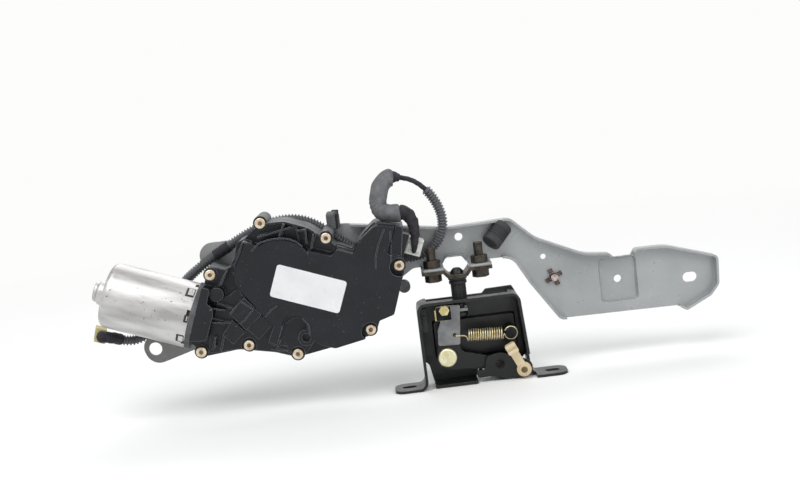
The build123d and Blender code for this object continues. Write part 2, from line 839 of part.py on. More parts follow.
with BuildPart() as cover_gasket:
    with BuildSketch(motor_plane(housing_rim)):
        add(case_face.sketch)
        add(cavity_face.sketch, mode=Mode.SUBTRACT)
        with Locations(*cover_screws_at):
            Circle(screw_radius + 0.3, mode=Mode.SUBTRACT)
    extrude(amount=gasket_gauge)
    with BuildSketch(shaft_section(can_mouth)):
        Circle(can_flange_radius + fit_gap)
    extrude(amount=can_flange_gauge + fit_gap, mode=Mode.SUBTRACT)
cover_gasket.part.label = "cover_gasket"
export_step(cover_gasket.part, "parts/cover_gasket.step")

# The plateau over the gears and the control board, without its domed corner over the spindle.
plateau_corners = [
    (-24.0, 19.5, 0),
    (18.1, 24.0, 0),
    (18.1, 26.6, 0),
    (37.9, 26.9, 3),
    (41.2, 33.6, 1.5),
    (55.4, 33.6, 2),
    (57.2, 44.4, 11),
    (67.5, 62.2, 7.5),
    (84.4, 64.6, 1),
    (84.4, 41.0, 1.5),
    (96.0, 41.0, 1.5),
    (101.8, 27.5, 3),
    (103.0, -9.0, 2.5),
    (92.4, -17.2, 1.5),
    (91.6, -31.4, 4),
    (61.6, -50.2, 7),
    (48.0, -50.4, 3),
    (41.0, -47.0, 5),
    (33.0, -41.0, 3),
    (30.6, -34.0, 2.5),
    (24.7, -30.8, 3),
    (13.0, -34.6, 3),
    (12.6, -43.4, 1.5),
    (3.6, -44.4, 1.5),
    (-36.3, -16.9, 3),
    (-39.0, -3.4, 5),
    (-36.0, 20.9, 2),
]
with BuildSketch() as plateau_face:
    add(rounded_face(plateau_corners))
    Circle(dome_radius)

lower_deck_corners = [
    (-30.0, -20.0, 1),
    (28.0, -25.0, 1),
    (44.0, -46.0, 1),
    (38.5, -62.5, 5),
    (29.0, -67.4, 5),
    (11.5, -67.8, 18),
    (-19.0, -73.0, 18),
    (-44.0, -84.0, 3),
    (-46.5, -60.0, 2),
    (-46.5, -38.0, 2),
]
with BuildSketch() as lower_deck_face:
    add(rounded_face(lower_deck_corners))
    with Locations(*cover_screws_at[3:6]):
        Circle(boss_radius + 0.5, mode=Mode.SUBTRACT)

with BuildSketch() as deck_inside_face:
    add(rounded_face(plateau_corners))
    Circle(dome_radius)
    add(rounded_face(lower_deck_corners))
    offset(amount=-cover_wall)
    with Locations(*cover_screws_at):
        Circle(boss_radius + cover_wall, mode=Mode.SUBTRACT)

with BuildSketch() as plateau_inside_face:
    add(rounded_face(plateau_corners))
    Circle(dome_radius)
    offset(amount=-cover_wall)
    with Locations(cover_screws_at[6], cover_screws_at[7]):
        Circle(screw_recess_radius + cover_wall, mode=Mode.SUBTRACT)

# Housing of the brush gear beside the can, with one chamfered end.
left_block_corners = [
    (-61.7, -26.3, 1),
    (-54.6, -26.3, 1),
    (-54.0, -39.0, 1),
    (-48.6, -41.4, 2),
    (-46.8, -47.0, 3),
    (-46.8, -70.0, 3),
    (-54.3, -72.4, 1),
    (-61.7, -74.6, 1),
]
# Moulded boxes that lie across the plateau's lower edge: four corners and a top depth each.
deck_boxes = [
    ([(-24.7, -26.3), (-33.8, -43.0), (-16.3, -53.8), (-7.2, -37.1)], 83.0),
    ([(-30.2, -48.6), (-35.2, -63.4), (-24.4, -69.3), (-17.2, -55.9)], 79.5),
    ([(-7.4, -38.0), (-15.0, -53.4), (-4.2, -59.3), (3.6, -44.8)], 81.5),
    ([(5.5, -42.0), (4.6, -59.5), (12.1, -59.5), (12.8, -42.0)], 82.5),
]
# Thin ribs on the flange: two ends and a top depth each.
ribs = [
    ((-8.1, 42.6), (-7.1, 30.0), 76.0),
    ((-25.8, 26.7), (-10.1, 35.5), 74.5),
    ((-10.1, 35.5), (4.8, 43.4), 74.5),
    ((20.3, 41.5), (19.7, 26.0), 76.0),
    ((3.8, 41.5), (9.0, 30.0), 74.5),
    ((-45.5, -10.5), (-48.6, -24.0), 76.0),
    ((-36.0, 20.5), (-42.5, -4.0), 77.0),
    ((-39.0, -9.0), (-27.0, -26.5), 76.0),
    ((-46.5, -37.5), (-31.0, -39.5), 79.0),
    ((-46.8, -52.0), (-31.0, -52.0), 79.0),
    ((-41.0, -67.0), (-41.0, -79.0), 77.5),
    ((-34.0, -64.0), (-34.0, -77.5), 77.5),
    ((13.0, -64.5), (26.0, -64.0), 77.0),
    ((13.0, -64.5), (13.0, -56.0), 77.0),
]
well_at = (35.0, -47.9)

with BuildPart() as gear_cover:
    with BuildSketch(motor_plane(cover_seat)):
        add(case_face.sketch)
    extrude(amount=flange_gauge)
    with BuildSketch(motor_plane(cover_seat)):
        add(plateau_face.sketch)
    extrude(amount=cover_top - cover_seat)
    fillet(gear_cover.faces().sort_by(Axis.Y)[0].edges(), plateau_round)
    with BuildSketch(motor_plane(flange_top)):
        with Locations(cover_screws_at[6], cover_screws_at[7]):
            Circle(screw_recess_radius)
    extrude(amount=cover_top - flange_top, mode=Mode.SUBTRACT)
    with BuildSketch(motor_plane(cover_seat)):
        add(lower_deck_face.sketch)
    extrude(amount=deck_top - cover_seat)
    with BuildSketch(motor_plane(cover_seat)):
        add(rounded_face(left_block_corners))
    extrude(amount=left_block_top - cover_seat)
    with BuildSketch(motor_plane(flange_top)):
        with Locations((-48.4, -30.5)):
            Circle(6)
    extrude(amount=11)
    for corners, top in deck_boxes:
        with BuildSketch(motor_plane(flange_top)):
            add(rounded_face([(p, q, 0.6) for p, q in corners]))
        extrude(amount=top - flange_top)
    for start, end, top in ribs:
        span = Vector(*end) - Vector(*start)
        with BuildSketch(motor_plane(flange_top)):
            with Locations(((start[0] + end[0]) / 2, (start[1] + end[1]) / 2)):
                Rectangle(span.length, rib_gauge, rotation=degrees(atan2(span.Y, span.X)))
        extrude(amount=top - flange_top)
    # Raised rim along the top edge between the two upper screws.
    with BuildSketch(motor_plane(flange_top)):
        add(rounded_face(case_corners))
        offset(rounded_face(case_corners), amount=-rib_gauge, mode=Mode.SUBTRACT)
        with Locations((1.5, 41)):
            Rectangle(50, 12, mode=Mode.INTERSECT)
    extrude(amount=rim_height)
    # Rounded column at the peak, beside the control board.
    with BuildSketch(motor_plane(cover_seat)):
        add(rounded_face([(85.0, 65.4, 1), (90.8, 65.8, 2), (96.2, 41.0, 1), (85.0, 41.0, 1)]))
    extrude(amount=column_top - cover_seat)
    # Screw bosses, with the recesses beside the plateau's edge left open.
    with BuildSketch(motor_plane(flange_top)):
        with Locations(*cover_screws_at):
            Circle(boss_radius)
    extrude(amount=boss_top - flange_top)
    with BuildSketch(motor_plane(flange_top)):
        with Locations(well_at):
            Circle(7)
    extrude(amount=80 - flange_top)
    with BuildSketch(motor_plane(deck_top)):
        with Locations(well_at):
            Circle(3.8)
    extrude(amount=cover_top, mode=Mode.SUBTRACT)
    # Inside.
    with BuildSketch(motor_plane(cover_seat)):
        add(deck_inside_face.sketch)
    extrude(amount=deck_top - cover_wall - cover_seat, mode=Mode.SUBTRACT)
    with BuildSketch(motor_plane(deck_top - cover_wall)):
        add(plateau_inside_face.sketch)
    extrude(amount=cover_top - deck_top, mode=Mode.SUBTRACT)
    with BuildSketch(motor_plane(cover_seat)):
        offset(rounded_face(left_block_corners), amount=-cover_wall)
    extrude(amount=left_block_top - cover_wall - cover_seat, mode=Mode.SUBTRACT)
    with BuildSketch(motor_plane(cover_seat)):
        with Locations(*cover_screws_at):
            Circle(screw_radius + 0.3)
    extrude(amount=cover_top - cover_seat, mode=Mode.SUBTRACT)
    with BuildSketch(motor_plane(boss_top)):
        with Locations(*cover_screws_at):
            Circle(screw_head_radius + moving_gap)
    extrude(amount=cover_top - boss_top, mode=Mode.SUBTRACT)
    # Clearance round the flange that closes the can.
    with BuildSketch(shaft_section(can_mouth)):
        Circle(can_flange_radius + fit_gap)
    extrude(amount=can_flange_gauge + fit_gap, mode=Mode.SUBTRACT)
gear_cover.part.label = "gear_cover"
export_step(gear_cover.part, "parts/gear_cover.step")

with BuildPart() as cover_screws:
    with BuildSketch(motor_plane(boss_top)):
        with Locations(*cover_screws_at):
            Circle(screw_head_radius)
    extrude(amount=screw_head_height)
    fillet(cover_screws.faces().filter_by(Axis.Y).sort_by(Axis.Y)[:8].edges(), 0.8)
    with BuildSketch(motor_plane(boss_top + screw_head_height - drive_depth)):
        with Locations(*cover_screws_at):
            RegularPolygon(drive_radius, 6)
    extrude(amount=drive_depth + 1, mode=Mode.SUBTRACT)
    with BuildSketch(motor_plane(housing_rim - screw_grip + 2)):
        with Locations(*cover_screws_at):
            Circle(screw_radius)
    extrude(amount=boss_top - housing_rim + screw_grip - 2)
cover_screws.part.label = "cover_screws"
export_step(cover_screws.part, "parts/cover_screws.step")

# ============================================================================================
# Control board at the peak
# ============================================================================================
board_corners = [
    (63.0, 46.0, 3),
    (68.5, 54.0, 3),
    (79.5, 54.0, 3),
    (80.0, 38.0, 2),
    (84.0, 36.0, 2),
    (85.0, 8.0, 3),
    (62.0, 8.0, 3),
]
with BuildPart() as control_board:
    with BuildSketch(motor_plane(board_depth)):
        add(rounded_face(board_corners))
    extrude(amount=board_gauge)
    # Relay and capacitor on the board.
    with BuildSketch(motor_plane(board_depth - 12)):
        with Locations((74, 20)):
            Rectangle(15, 12)
        with Locations((76, 40)):
            Circle(5)
    extrude(amount=12)
control_board.part.label = "control_board"
export_step(control_board.part, "parts/control_board.step")

# Contact strips that read the wheel's parking position.
with BuildPart() as park_contacts:
    for offset_q in (-5, 0, 5):
        with BuildSketch(motor_plane(board_depth + board_gauge)):
            with Locations((52, 8 + offset_q)):
                Rectangle(26, 2.4)
        extrude(amount=0.5)
park_contacts.part.label = "park_contacts"
export_step(park_contacts.part, "parts/park_contacts.step")

with BuildPart() as connector_socket:
    with BuildSketch(motor_plane(plug_back - 1.5)):
        with Locations((plug_p - socket_reach / 2, plug_q)):
            Rectangle(socket_reach, plug_width + 3)
        add(case_face.sketch, mode=Mode.SUBTRACT)
    extrude(amount=plug_height + 3)
connector_socket.part.label = "connector_socket"
export_step(connector_socket.part, "parts/connector_socket.step")

# ============================================================================================
# Bracket
# ============================================================================================
web_front = web_back + web_gauge
shelf_z = -17.0
bolt_xs = (striker_x - striker_bolt_pitch / 2, striker_x + striker_bolt_pitch / 2)
arch_half = striker_bolt_pitch / 2 - shelf_half
bracket_corners = [
    (-75.5, 28.5, 12),
    (-40.0, 28.5, 40),
    (56.0, 31.5, 60),
    (148.0, 17.0, 60),
    (205.0, 18.5, 10),
    (226.0, -1.5, 25),
    (268.0, -21.5, 40),
    (290.5, -24.0, 4),
    (295.5, -29.0, 3),
    (310.0, -29.8, 3),
    (314.5, -22.8, 4),
    (342.0, -23.2, 40),
    (388.0, -38.0, 5),
    (387.0, -64.0, 8),
    (379.0, -73.5, 8),
    (356.0, -84.8, 4),
    (349.0, -80.6, 4),
    (241.0, -79.4, 8),
    (217.0, -43.0, 40),
    (203.0, shelf_z, 14),
    (striker_x + arch_half, shelf_z, 2.5),
    (striker_x + arch_half - 4, shelf_z + 6, 4),
    (striker_x - arch_half + 4, shelf_z + 6, 4),
    (striker_x - arch_half, shelf_z, 2.5),
    (114.0, shelf_z, 10),
    (62.0, -50.0, 20),
    (-60.0, -57.0, 30),
    (-92.0, -67.0, 30),
    (-132.0, -78.0, 13),
    (-142.0, -52.0, 12),
    (-96.0, -42.0, 20),
    (-62.0, -12.0, 20),
    (-60.0, 6.0, 4),
    (-75.5, 12.0, 5),
]
motor_mounts_xz = [tilted_xz(p, q) for p, q in mounts_at]
pocket_x, pocket_z = 298.0, -50.0
with BuildPart() as mounting_bracket:
    with BuildSketch(row_plane(web_back)):
        add(rounded_face(bracket_corners))
    extrude(amount=web_gauge)
    # Turned lip, left out at the motor, the striker, the straight lower edge and the top notch.
    with BuildSketch(row_plane(web_front)):
        add(rounded_face(bracket_corners))
        offset(rounded_face(bracket_corners), amount=-web_gauge, mode=Mode.SUBTRACT)
        with Locations((-70, 0)):
            Rectangle(264, 220, mode=Mode.SUBTRACT)
        with Locations((130, -40)):
            Rectangle(130, 60, mode=Mode.SUBTRACT)
        with Locations((299, -85)):
            Rectangle(104, 20, mode=Mode.SUBTRACT)
        with Locations((302.5, -25)):
            Rectangle(21, 20, mode=Mode.SUBTRACT)
    extrude(amount=flange_height)
    # Shelves that carry the striker.
    for x in bolt_xs:
        with BuildSketch(Plane.XY.offset(shelf_z)):
            with Locations((x, -web_back - tab_length / 2)):
                RectangleRounded(2 * shelf_half, tab_length, 3)
        extrude(amount=web_gauge)
        with BuildSketch(Plane.XY.offset(shelf_z - 1)):
            with Locations((x, -striker_depth)):
                Circle(striker_bolt_radius + fit_gap)
        extrude(amount=web_gauge + 2, mode=Mode.SUBTRACT)
    # Pressed pocket round the fixing hole at the notch.
    with BuildSketch(row_plane(web_back)):
        with Locations((pocket_x, pocket_z)):
            RectangleRounded(36, 42, 4)
    extrude(amount=-pocket_depth, taper=20)
    with BuildSketch(row_plane(web_front)):
        with Locations((pocket_x, pocket_z)):
            RectangleRounded(34.5, 40.5, 4)
    extrude(amount=-pocket_depth, taper=20, mode=Mode.SUBTRACT)
    # Holes: spindle neck, motor mounts, and the fixings to the body.
    with BuildSketch(row_plane(web_back - pocket_depth - 1)):
        Circle(neck_radius + 3)
        with Locations(*motor_mounts_xz):
            Circle(grommet_waist)
        with Locations((pocket_x, pocket_z)):
            Circle(body_bolt_hole)
        with Locations((end_slot_x, end_slot_z)):
            SlotOverall(end_slot_length, end_slot_width)
        with Locations((tab_hole_x, tab_hole_z)):
            Circle(tab_hole_radius)
        with Locations((158, 6.4)):
            Circle(3.6)
        with Locations((232, -20.9)):
            Circle(2.5)
        with Locations((bumper_x, bumper_z)):
            Circle(bumper_stem)
        with Locations((clip_x, clip_z)):
            Circle(clip_stem)
        with Locations((loop_clip_x - loop_clip_reach * sqrt(0.5), loop_clip_z - loop_clip_reach * sqrt(0.5))):
            Circle(clip_stem)
    extrude(amount=pocket_depth + web_gauge + 2, mode=Mode.SUBTRACT)
mounting_bracket.part.label = "mounting_bracket"
export_step(mounting_bracket.part, "parts/mounting_bracket.step")

with BuildPart() as mount_grommets:
    with BuildSketch(row_plane(web_back - grommet_flange)):
        with Locations(*motor_mounts_xz):
            Circle(grommet_radius)
    extrude(amount=grommet_flange)
    with BuildSketch(row_plane(web_back)):
        with Locations(*motor_mounts_xz):
            Circle(grommet_waist)
    extrude(amount=web_gauge)
    with BuildSketch(row_plane(web_front)):
        with Locations(*motor_mounts_xz):
            Circle(grommet_radius)
    extrude(amount=grommet_flange)
    with BuildSketch(row_plane(web_back - grommet_flange - 1)):
        with Locations(*motor_mounts_xz):
            Circle(sleeve_radius)
    extrude(amount=2 * grommet_flange + web_gauge + 2, mode=Mode.SUBTRACT)
mount_grommets.part.label = "mount_grommets"
export_step(mount_grommets.part, "parts/mount_grommets.step")

with BuildPart() as mount_sleeves:
    with BuildSketch(row_plane(web_back - grommet_flange)):
        with Locations(*motor_mounts_xz):
            Circle(sleeve_radius)
            Circle(mount_bolt_radius + fit_gap, mode=Mode.SUBTRACT)
    extrude(amount=2 * grommet_flange + web_gauge)
mount_sleeves.part.label = "mount_sleeves"
export_step(mount_sleeves.part, "parts/mount_sleeves.step")

washer_back = web_back - grommet_flange - washer_gauge
with BuildPart() as mount_bolts:
    with BuildSketch(row_plane(washer_back)):
        with Locations(*motor_mounts_xz):
            Circle(grommet_radius - 1)
    extrude(amount=washer_gauge)
    with BuildSketch(row_plane(washer_back - mount_head_height)):
        with Locations(*motor_mounts_xz):
            RegularPolygon(mount_head_flats / 2, 6, major_radius=False)
    extrude(amount=mount_head_height)
    with BuildSketch(row_plane(washer_back)):
        with Locations(*motor_mounts_xz):
            Circle(mount_bolt_radius)
    extrude(amount=web_front + mount_bolt_grip - 0.5 - washer_back)
mount_bolts.part.label = "mount_bolts"
export_step(mount_bolts.part, "parts/mount_bolts.step")

# Rubber stop pressed through the web near its top corner.
with BuildPart() as rubber_bumper:
    with BuildSketch(row_plane(web_front)):
        with Locations((bumper_x, bumper_z)):
            Circle(bumper_radius)
    extrude(amount=bumper_height, taper=4)
    fillet(rubber_bumper.faces().sort_by(Axis.Y)[0].edges(), 1.5)
    with BuildSketch(row_plane(web_back)):
        with Locations((bumper_x, bumper_z)):
            Circle(bumper_stem)
    extrude(amount=web_gauge)
    with BuildSketch(row_plane(web_back)):
        with Locations((bumper_x, bumper_z)):
            Circle(bumper_stem + 2)
    extrude(amount=-4, taper=25)
rubber_bumper.part.label = "rubber_bumper"
export_step(rubber_bumper.part, "parts/rubber_bumper.step")

# Sheet metal push clip for the trim: a cap on a stem with four turned wings.
with BuildPart() as push_clip:
    with BuildSketch(row_plane(web_front)):
        with Locations((clip_x, clip_z)):
            Circle(clip_cap)
            with PolarLocations(clip_wing_reach / 2, 4, start_angle=25):
                RectangleRounded(clip_wing_reach, 5, 1.2)
    extrude(amount=1.2)
    with BuildSketch(row_plane(web_front + 1.2)):
        with Locations((clip_x, clip_z)):
            Circle(clip_cap)
    extrude(amount=5, taper=10)
    with BuildSketch(row_plane(web_back - 5)):
        with Locations((clip_x, clip_z)):
            Circle(clip_stem)
    extrude(amount=5 + web_gauge)
push_clip.part.label = "push_clip"
export_step(push_clip.part, "parts/push_clip.step")

# ============================================================================================
# Striker
# ============================================================================================
strap_half_depth = 11.0
dip_z = shelf_z - strap_dip
with BuildPart() as striker_plate:
    with BuildSketch(row_plane(striker_depth - strap_half_depth)):
        with BuildLine():
            FilletPolyline(
                (bolt_xs[0] - shelf_half, shelf_z),
                (striker_x - arch_half, shelf_z),
                (striker_x - arch_half + 4, dip_z),
                (striker_x + arch_half - 4, dip_z),
                (striker_x + arch_half, shelf_z),
                (bolt_xs[1] + shelf_half, shelf_z),
                radius=2.5,
            )
            offset(amount=strap_gauge, side=Side.RIGHT)
        make_face()
    extrude(amount=2 * strap_half_depth)
    with BuildSketch(Plane.XY.offset(dip_z - strap_gauge - 1)):
        with Locations((striker_x, -striker_depth)):
            Circle(post_radius - 1)
        with Locations((bolt_xs[0], -striker_depth), (bolt_xs[1], -striker_depth)):
            Circle(striker_bolt_radius + fit_gap)
    extrude(amount=strap_dip + strap_gauge + 2, mode=Mode.SUBTRACT)
striker_plate.part.label = "striker_plate"
export_step(striker_plate.part, "parts/striker_plate.step")

post_top = dip_z - strap_gauge
post_axis = Axis((striker_x, -striker_depth, 0), (0, 0, 1))
post_profile_plane = Plane(origin=(striker_x, -striker_depth, 0), x_dir=(1, 0, 0), z_dir=(0, -1, 0))
with BuildPart() as striker_post:
    with BuildSketch(post_profile_plane):
        with BuildLine():
            Polyline(
                (0, dip_z + post_cap_height),
                (post_cap_radius * 0.5, dip_z + post_cap_height * 0.9),
                (post_cap_radius * 0.85, dip_z + post_cap_height * 0.5),
                (post_cap_radius, dip_z),
                (post_radius - 1, dip_z),
                (post_radius - 1, post_top),
                (post_radius, post_top),
                (post_radius, neck_top),
                (post_neck_radius, neck_top - 1),
                (post_neck_radius, neck_bottom),
                (post_head_radius, neck_bottom),
                (post_head_radius, neck_bottom - 2.5),
                (post_head_radius - 2, neck_bottom - 4.5),
                (0, neck_bottom - 4.5),
                close=True,
            )
        make_face()
    revolve(axis=post_axis)
striker_post.part.label = "striker_post"
export_step(striker_post.part, "parts/striker_post.step")

# Ribbed plastic sleeve with a stepped flange under the strap.
collar_flange_radius = 8.3
collar_flange_height = 6.0
collar_radius = 6.1
collar_bottom = frame_top - latch_gauge
collar_ribs = 14
with BuildPart() as striker_collar:
    with BuildSketch(post_profile_plane):
        with BuildLine():
            Polyline(
                (post_radius, post_top),
                (collar_flange_radius, post_top),
                (collar_flange_radius, post_top - collar_flange_height * 0.35),
                (collar_flange_radius - 1.2, post_top - collar_flange_height * 0.5),
                (collar_flange_radius - 0.4, post_top - collar_flange_height * 0.65),
                (collar_flange_radius - 0.4, post_top - collar_flange_height),
                (collar_radius, post_top - collar_flange_height - 1),
                (collar_radius, collar_bottom),
                (post_radius, collar_bottom),
                close=True,
            )
        make_face()
    revolve(axis=post_axis)
    with BuildSketch(Plane.XY.offset(post_top - collar_flange_height)):
        with Locations((striker_x, -striker_depth)):
            with PolarLocations(collar_radius, collar_ribs):
                Rectangle(1.2, 1.1)
    extrude(amount=collar_bottom - post_top + collar_flange_height)
striker_collar.part.label = "striker_collar"
export_step(striker_collar.part, "parts/striker_collar.step")

bolt_centres = [(x, -striker_depth) for x in bolt_xs]
strap_under = shelf_z - strap_gauge
with BuildPart() as striker_bolts:
    with BuildSketch(Plane.XY.offset(strap_under)):
        with Locations(*bolt_centres):
            Circle(bolt_flange_radius)
    extrude(amount=-bolt_flange_gauge)
    with BuildSketch(Plane.XY.offset(strap_under - bolt_flange_gauge)):
        with Locations(*bolt_centres):
            RegularPolygon(striker_bolt_flats / 2, 6, major_radius=False)
    extrude(amount=-bolt_head_height)
    with BuildSketch(Plane.XY.offset(strap_under)):
        with Locations(*bolt_centres):
            Circle(striker_bolt_radius)
    extrude(amount=striker_bolt_length)
striker_bolts.part.label = "striker_bolts"
export_step(striker_bolts.part, "parts/striker_bolts.step")

with BuildPart() as striker_nuts:
    with BuildSketch(Plane.XY.offset(shelf_z + web_gauge)):
        with Locations(*bolt_centres):
            RegularPolygon(striker_bolt_flats / 2, 6, major_radius=False)
            Circle(striker_bolt_radius, mode=Mode.SUBTRACT)
    extrude(amount=nut_height)
striker_nuts.part.label = "striker_nuts"
export_step(striker_nuts.part, "parts/striker_nuts.step")

# ============================================================================================
# Latch
# ============================================================================================
wall_start = latch_back + latch_gauge
ear_middle = striker_x + ear_offset
ear_slot_xs = (ear_middle - ear_pitch / 2, ear_middle + ear_pitch / 2)
ear_tips = (ear_slot_xs[0] - ear_tip_reach, ear_slot_xs[1] + ear_tip_reach)
with BuildPart() as latch_frame:
    with BuildSketch(row_plane(wall_start)):
        with BuildLine():
            FilletPolyline(
                (ear_tips[0], ear_top),
                (frame_left + 0.5, ear_top),
                (frame_left, frame_top),
                (frame_right, frame_top),
                (frame_right + wall_lean, ear_top),
                (ear_tips[1], ear_top),
                radius=[6, 8, 8, 6],
            )
            offset(amount=latch_gauge, side=Side.RIGHT)
        make_face()
    extrude(amount=latch_front - wall_start)
    # Rounded ear tips.
    fillet(latch_frame.edges().filter_by(Axis.Z).group_by(Axis.X)[0], 9)
    fillet(latch_frame.edges().filter_by(Axis.Z).group_by(Axis.X)[-1], 9)
    # The top is open behind its front strip, where the striker passes.
    with BuildSketch(Plane.XY.offset(frame_top - latch_gauge - 1)):
        with Locations(((frame_left + frame_right) / 2, -(wall_start + strip_back) / 2)):
            Rectangle(frame_right - frame_left - 18, strip_back - wall_start)
    extrude(amount=latch_gauge + 2, mode=Mode.SUBTRACT)
    # Mounting slots.
    with BuildSketch(Plane.XY.offset(ear_top - latch_gauge - 1)):
        with Locations(*[(x, -ear_slot_depth) for x in ear_slot_xs]):
            SlotOverall(ear_slot_length, ear_slot_width)
    extrude(amount=latch_gauge + 2, mode=Mode.SUBTRACT)
    # The foot of the right wall is cut back to clear the lever and its clip.
    with BuildSketch(row_plane(lever_back - 2)):
        with Locations((frame_right - 2, (lever_notch_top + ear_top) / 2 - 2)):
            Rectangle(2 * (wall_lean + 5), lever_notch_top - ear_top + 4)
    extrude(amount=latch_front - lever_back + 3, mode=Mode.SUBTRACT)
latch_frame.part.label = "latch_frame"
export_step(latch_frame.part, "parts/latch_frame.step")

lip_left = 121.0
lip_right = 159.0
lip_bottom = ear_top - 2.0
lip_front = 64.0
backplate_corners = [
    (frame_left + 0.5, frame_top - 1.5, 4),
    (172.0, frame_top - 1.5, 2),
    (175.5, frame_top + 2.0, 2),
    (199.0, frame_top + 2.5, 1.5),
    (frame_right - 1.0, frame_top - 3.0, 1.5),
    (frame_right + 3.5, -103.0, 6),
    (190.0, -118.0, 5),
    (172.0, -118.0, 5),
    (168.0, -109.0, 4),
    (lip_right + 2.5, -112.0, 3),
    (lip_right, lip_bottom, 1),
    (lip_left, lip_bottom, 1),
    (118.0, -104.0, 4),
    (frame_left + 1.0, -99.0, 3),
]
with BuildPart() as latch_backplate:
    with BuildSketch(row_plane(latch_back)):
        add(rounded_face(backplate_corners))
        with Locations(hook_pivot, lever_pivot, spring_anchor_at):
            Circle(latch_pin_seat, mode=Mode.SUBTRACT)
    extrude(amount=latch_gauge)
    # Pressed panel behind the spring, which leaves a recess above it for the striker's head.
    with BuildSketch(row_plane(wall_start)):
        with Locations(((panel_left + panel_right) / 2, (panel_top + panel_bottom) / 2)):
            RectangleRounded(panel_right - panel_left, panel_top - panel_bottom, 3)
    extrude(amount=panel_rise, taper=15)
    # Lip turned forward along the foot of the left lobe.
    with BuildSketch(Plane.XY.offset(lip_bottom)):
        with Locations(((lip_left + lip_right) / 2, -(latch_back + lip_front) / 2)):
            RectangleRounded(lip_right - lip_left, lip_front - latch_back, 2)
    extrude(amount=latch_gauge)
    with BuildSketch(row_plane(wall_start)):
        with Locations(hook_pivot):
            Circle(hook_rivet_stem)
        with Locations(spring_anchor_at):
            Circle(spring_anchor_stem)
    extrude(amount=panel_rise + 1, mode=Mode.SUBTRACT)
latch_backplate.part.label = "latch_backplate"
export_step(latch_backplate.part, "parts/latch_backplate.step")

# Static pins of the latch: pivots riveted through the back plate, and the spring's anchor.
def latch_pin(at, head_radius, head_from, head_gauge, stem):
    """A pin from the back plate with a head at the given depth, and its domed outer edge."""
    with BuildPart() as pin:
        with BuildSketch(row_plane(latch_back)):
            with Locations(at):
                Circle(latch_pin_seat)
        extrude(amount=latch_gauge)
        with BuildSketch(row_plane(wall_start)):
            with Locations(at):
                Circle(stem)
        extrude(amount=head_from - wall_start)
        with BuildSketch(row_plane(head_from)):
            with Locations(at):
                Circle(head_radius)
        extrude(amount=head_gauge)
        fillet(pin.faces().sort_by(Axis.Y)[0].edges(), head_gauge * 0.4)
    return pin.part


with BuildPart() as latch_pins:
    add(latch_pin(hook_pivot, hook_rivet_head, hook_back + moving_gap, hook_rivet_gauge, hook_rivet_stem))
    add(latch_pin(lever_pivot, lever_rivet_head, lever_front + moving_gap, 1.6, lever_rivet_stem))
    add(latch_pin(spring_anchor_at, spring_anchor_stem, spring_depth + 1.2, 1.5, spring_anchor_stem))
latch_pins.part.label = "latch_pins"
export_step(latch_pins.part, "parts/latch_pins.step")

# Hook: a front plate, with a forked tongue turned back round the striker's neck.
hook_corners = [
    (129.5, -49.0, 1),
    (150.4, -49.0, 1.5),
    (147.0, -84.5, 2),
    (127.5, -83.5, 2),
    (128.6, -69.5, 4),
    (132.0, -61.8, 1),
    (129.5, -60.8, 0.4),
]
tongue_left = 139.0
tongue_right = 157.0
tongue_top = neck_top - 4.5
with BuildPart() as latch_hook:
    with BuildSketch(row_plane(hook_back)):
        add(rounded_face(hook_corners))
        with Locations(spring_hole_at):
            Circle(spring_hole_radius, mode=Mode.SUBTRACT)
    extrude(amount=hook_gauge)
    with BuildSketch(Plane.XY.offset(tongue_top)):
        with Locations(((tongue_left + tongue_right) / 2, -(hook_back + tongue_back) / 2)):
            Rectangle(tongue_right - tongue_left, hook_back - tongue_back)
        with Locations(((striker_x + tongue_right) / 2 + 1, -striker_depth)):
            Rectangle(tongue_right - striker_x + 2, 2 * (post_neck_radius + 0.5), mode=Mode.SUBTRACT)
        with Locations((striker_x, -striker_depth)):
            Circle(post_neck_radius + 0.5, mode=Mode.SUBTRACT)
    extrude(amount=-hook_gauge)
latch_hook.part.label = "latch_hook"
export_step(latch_hook.part, "parts/latch_hook.step")

# Black arm riveted behind the hook plate. The release lever's pin lifts its free end.
arm_corners = [
    (129.0, -76.0, 3),
    (146.0, -77.0, 3),
    (147.5, -91.5, 5),
    (170.5, -98.5, 2),
    (169.0, -110.0, 2),
    (150.0, -107.5, 8),
    (136.0, -106.8, 8),
    (124.5, -102.0, 6),
    (126.5, -88.0, 6),
]
with BuildPart() as hook_arm:
    with BuildSketch(row_plane(arm_back)):
        add(rounded_face(arm_corners))
        with Locations(hook_pivot):
            Circle(hook_rivet_stem + running_gap, mode=Mode.SUBTRACT)
    extrude(amount=hook_back - arm_back)
hook_arm.part.label = "hook_arm"
export_step(hook_arm.part, "parts/hook_arm.step")

# Block with a clip and a hexagon bolt, which the hook pushes against the switch.
stud_block_left = 128.6
stud_block_right = 142.0
stud_block_top = -48.8
stud_block_bottom = -61.0
stud_block_gauge = 3.0
stud_at = (135.9, -51.6)
stud_head_flats = 8.0
with BuildPart() as hook_stud:
    with BuildSketch(row_plane(hook_front)):
        with Locations(((stud_block_left + stud_block_right) / 2, (stud_block_top + stud_block_bottom) / 2)):
            RectangleRounded(stud_block_right - stud_block_left, stud_block_top - stud_block_bottom, 1)
        with Locations((stud_block_left - 0.6, stud_block_bottom + 5)):
            Rectangle(1.2, 9)
    extrude(amount=stud_block_gauge)
    with BuildSketch(row_plane(hook_front + stud_block_gauge)):
        with Locations(stud_at):
            RegularPolygon(stud_head_flats / 2, 6, major_radius=False)
    extrude(amount=3.5)
hook_stud.part.label = "hook_stud"
export_step(hook_stud.part, "parts/hook_stud.step")

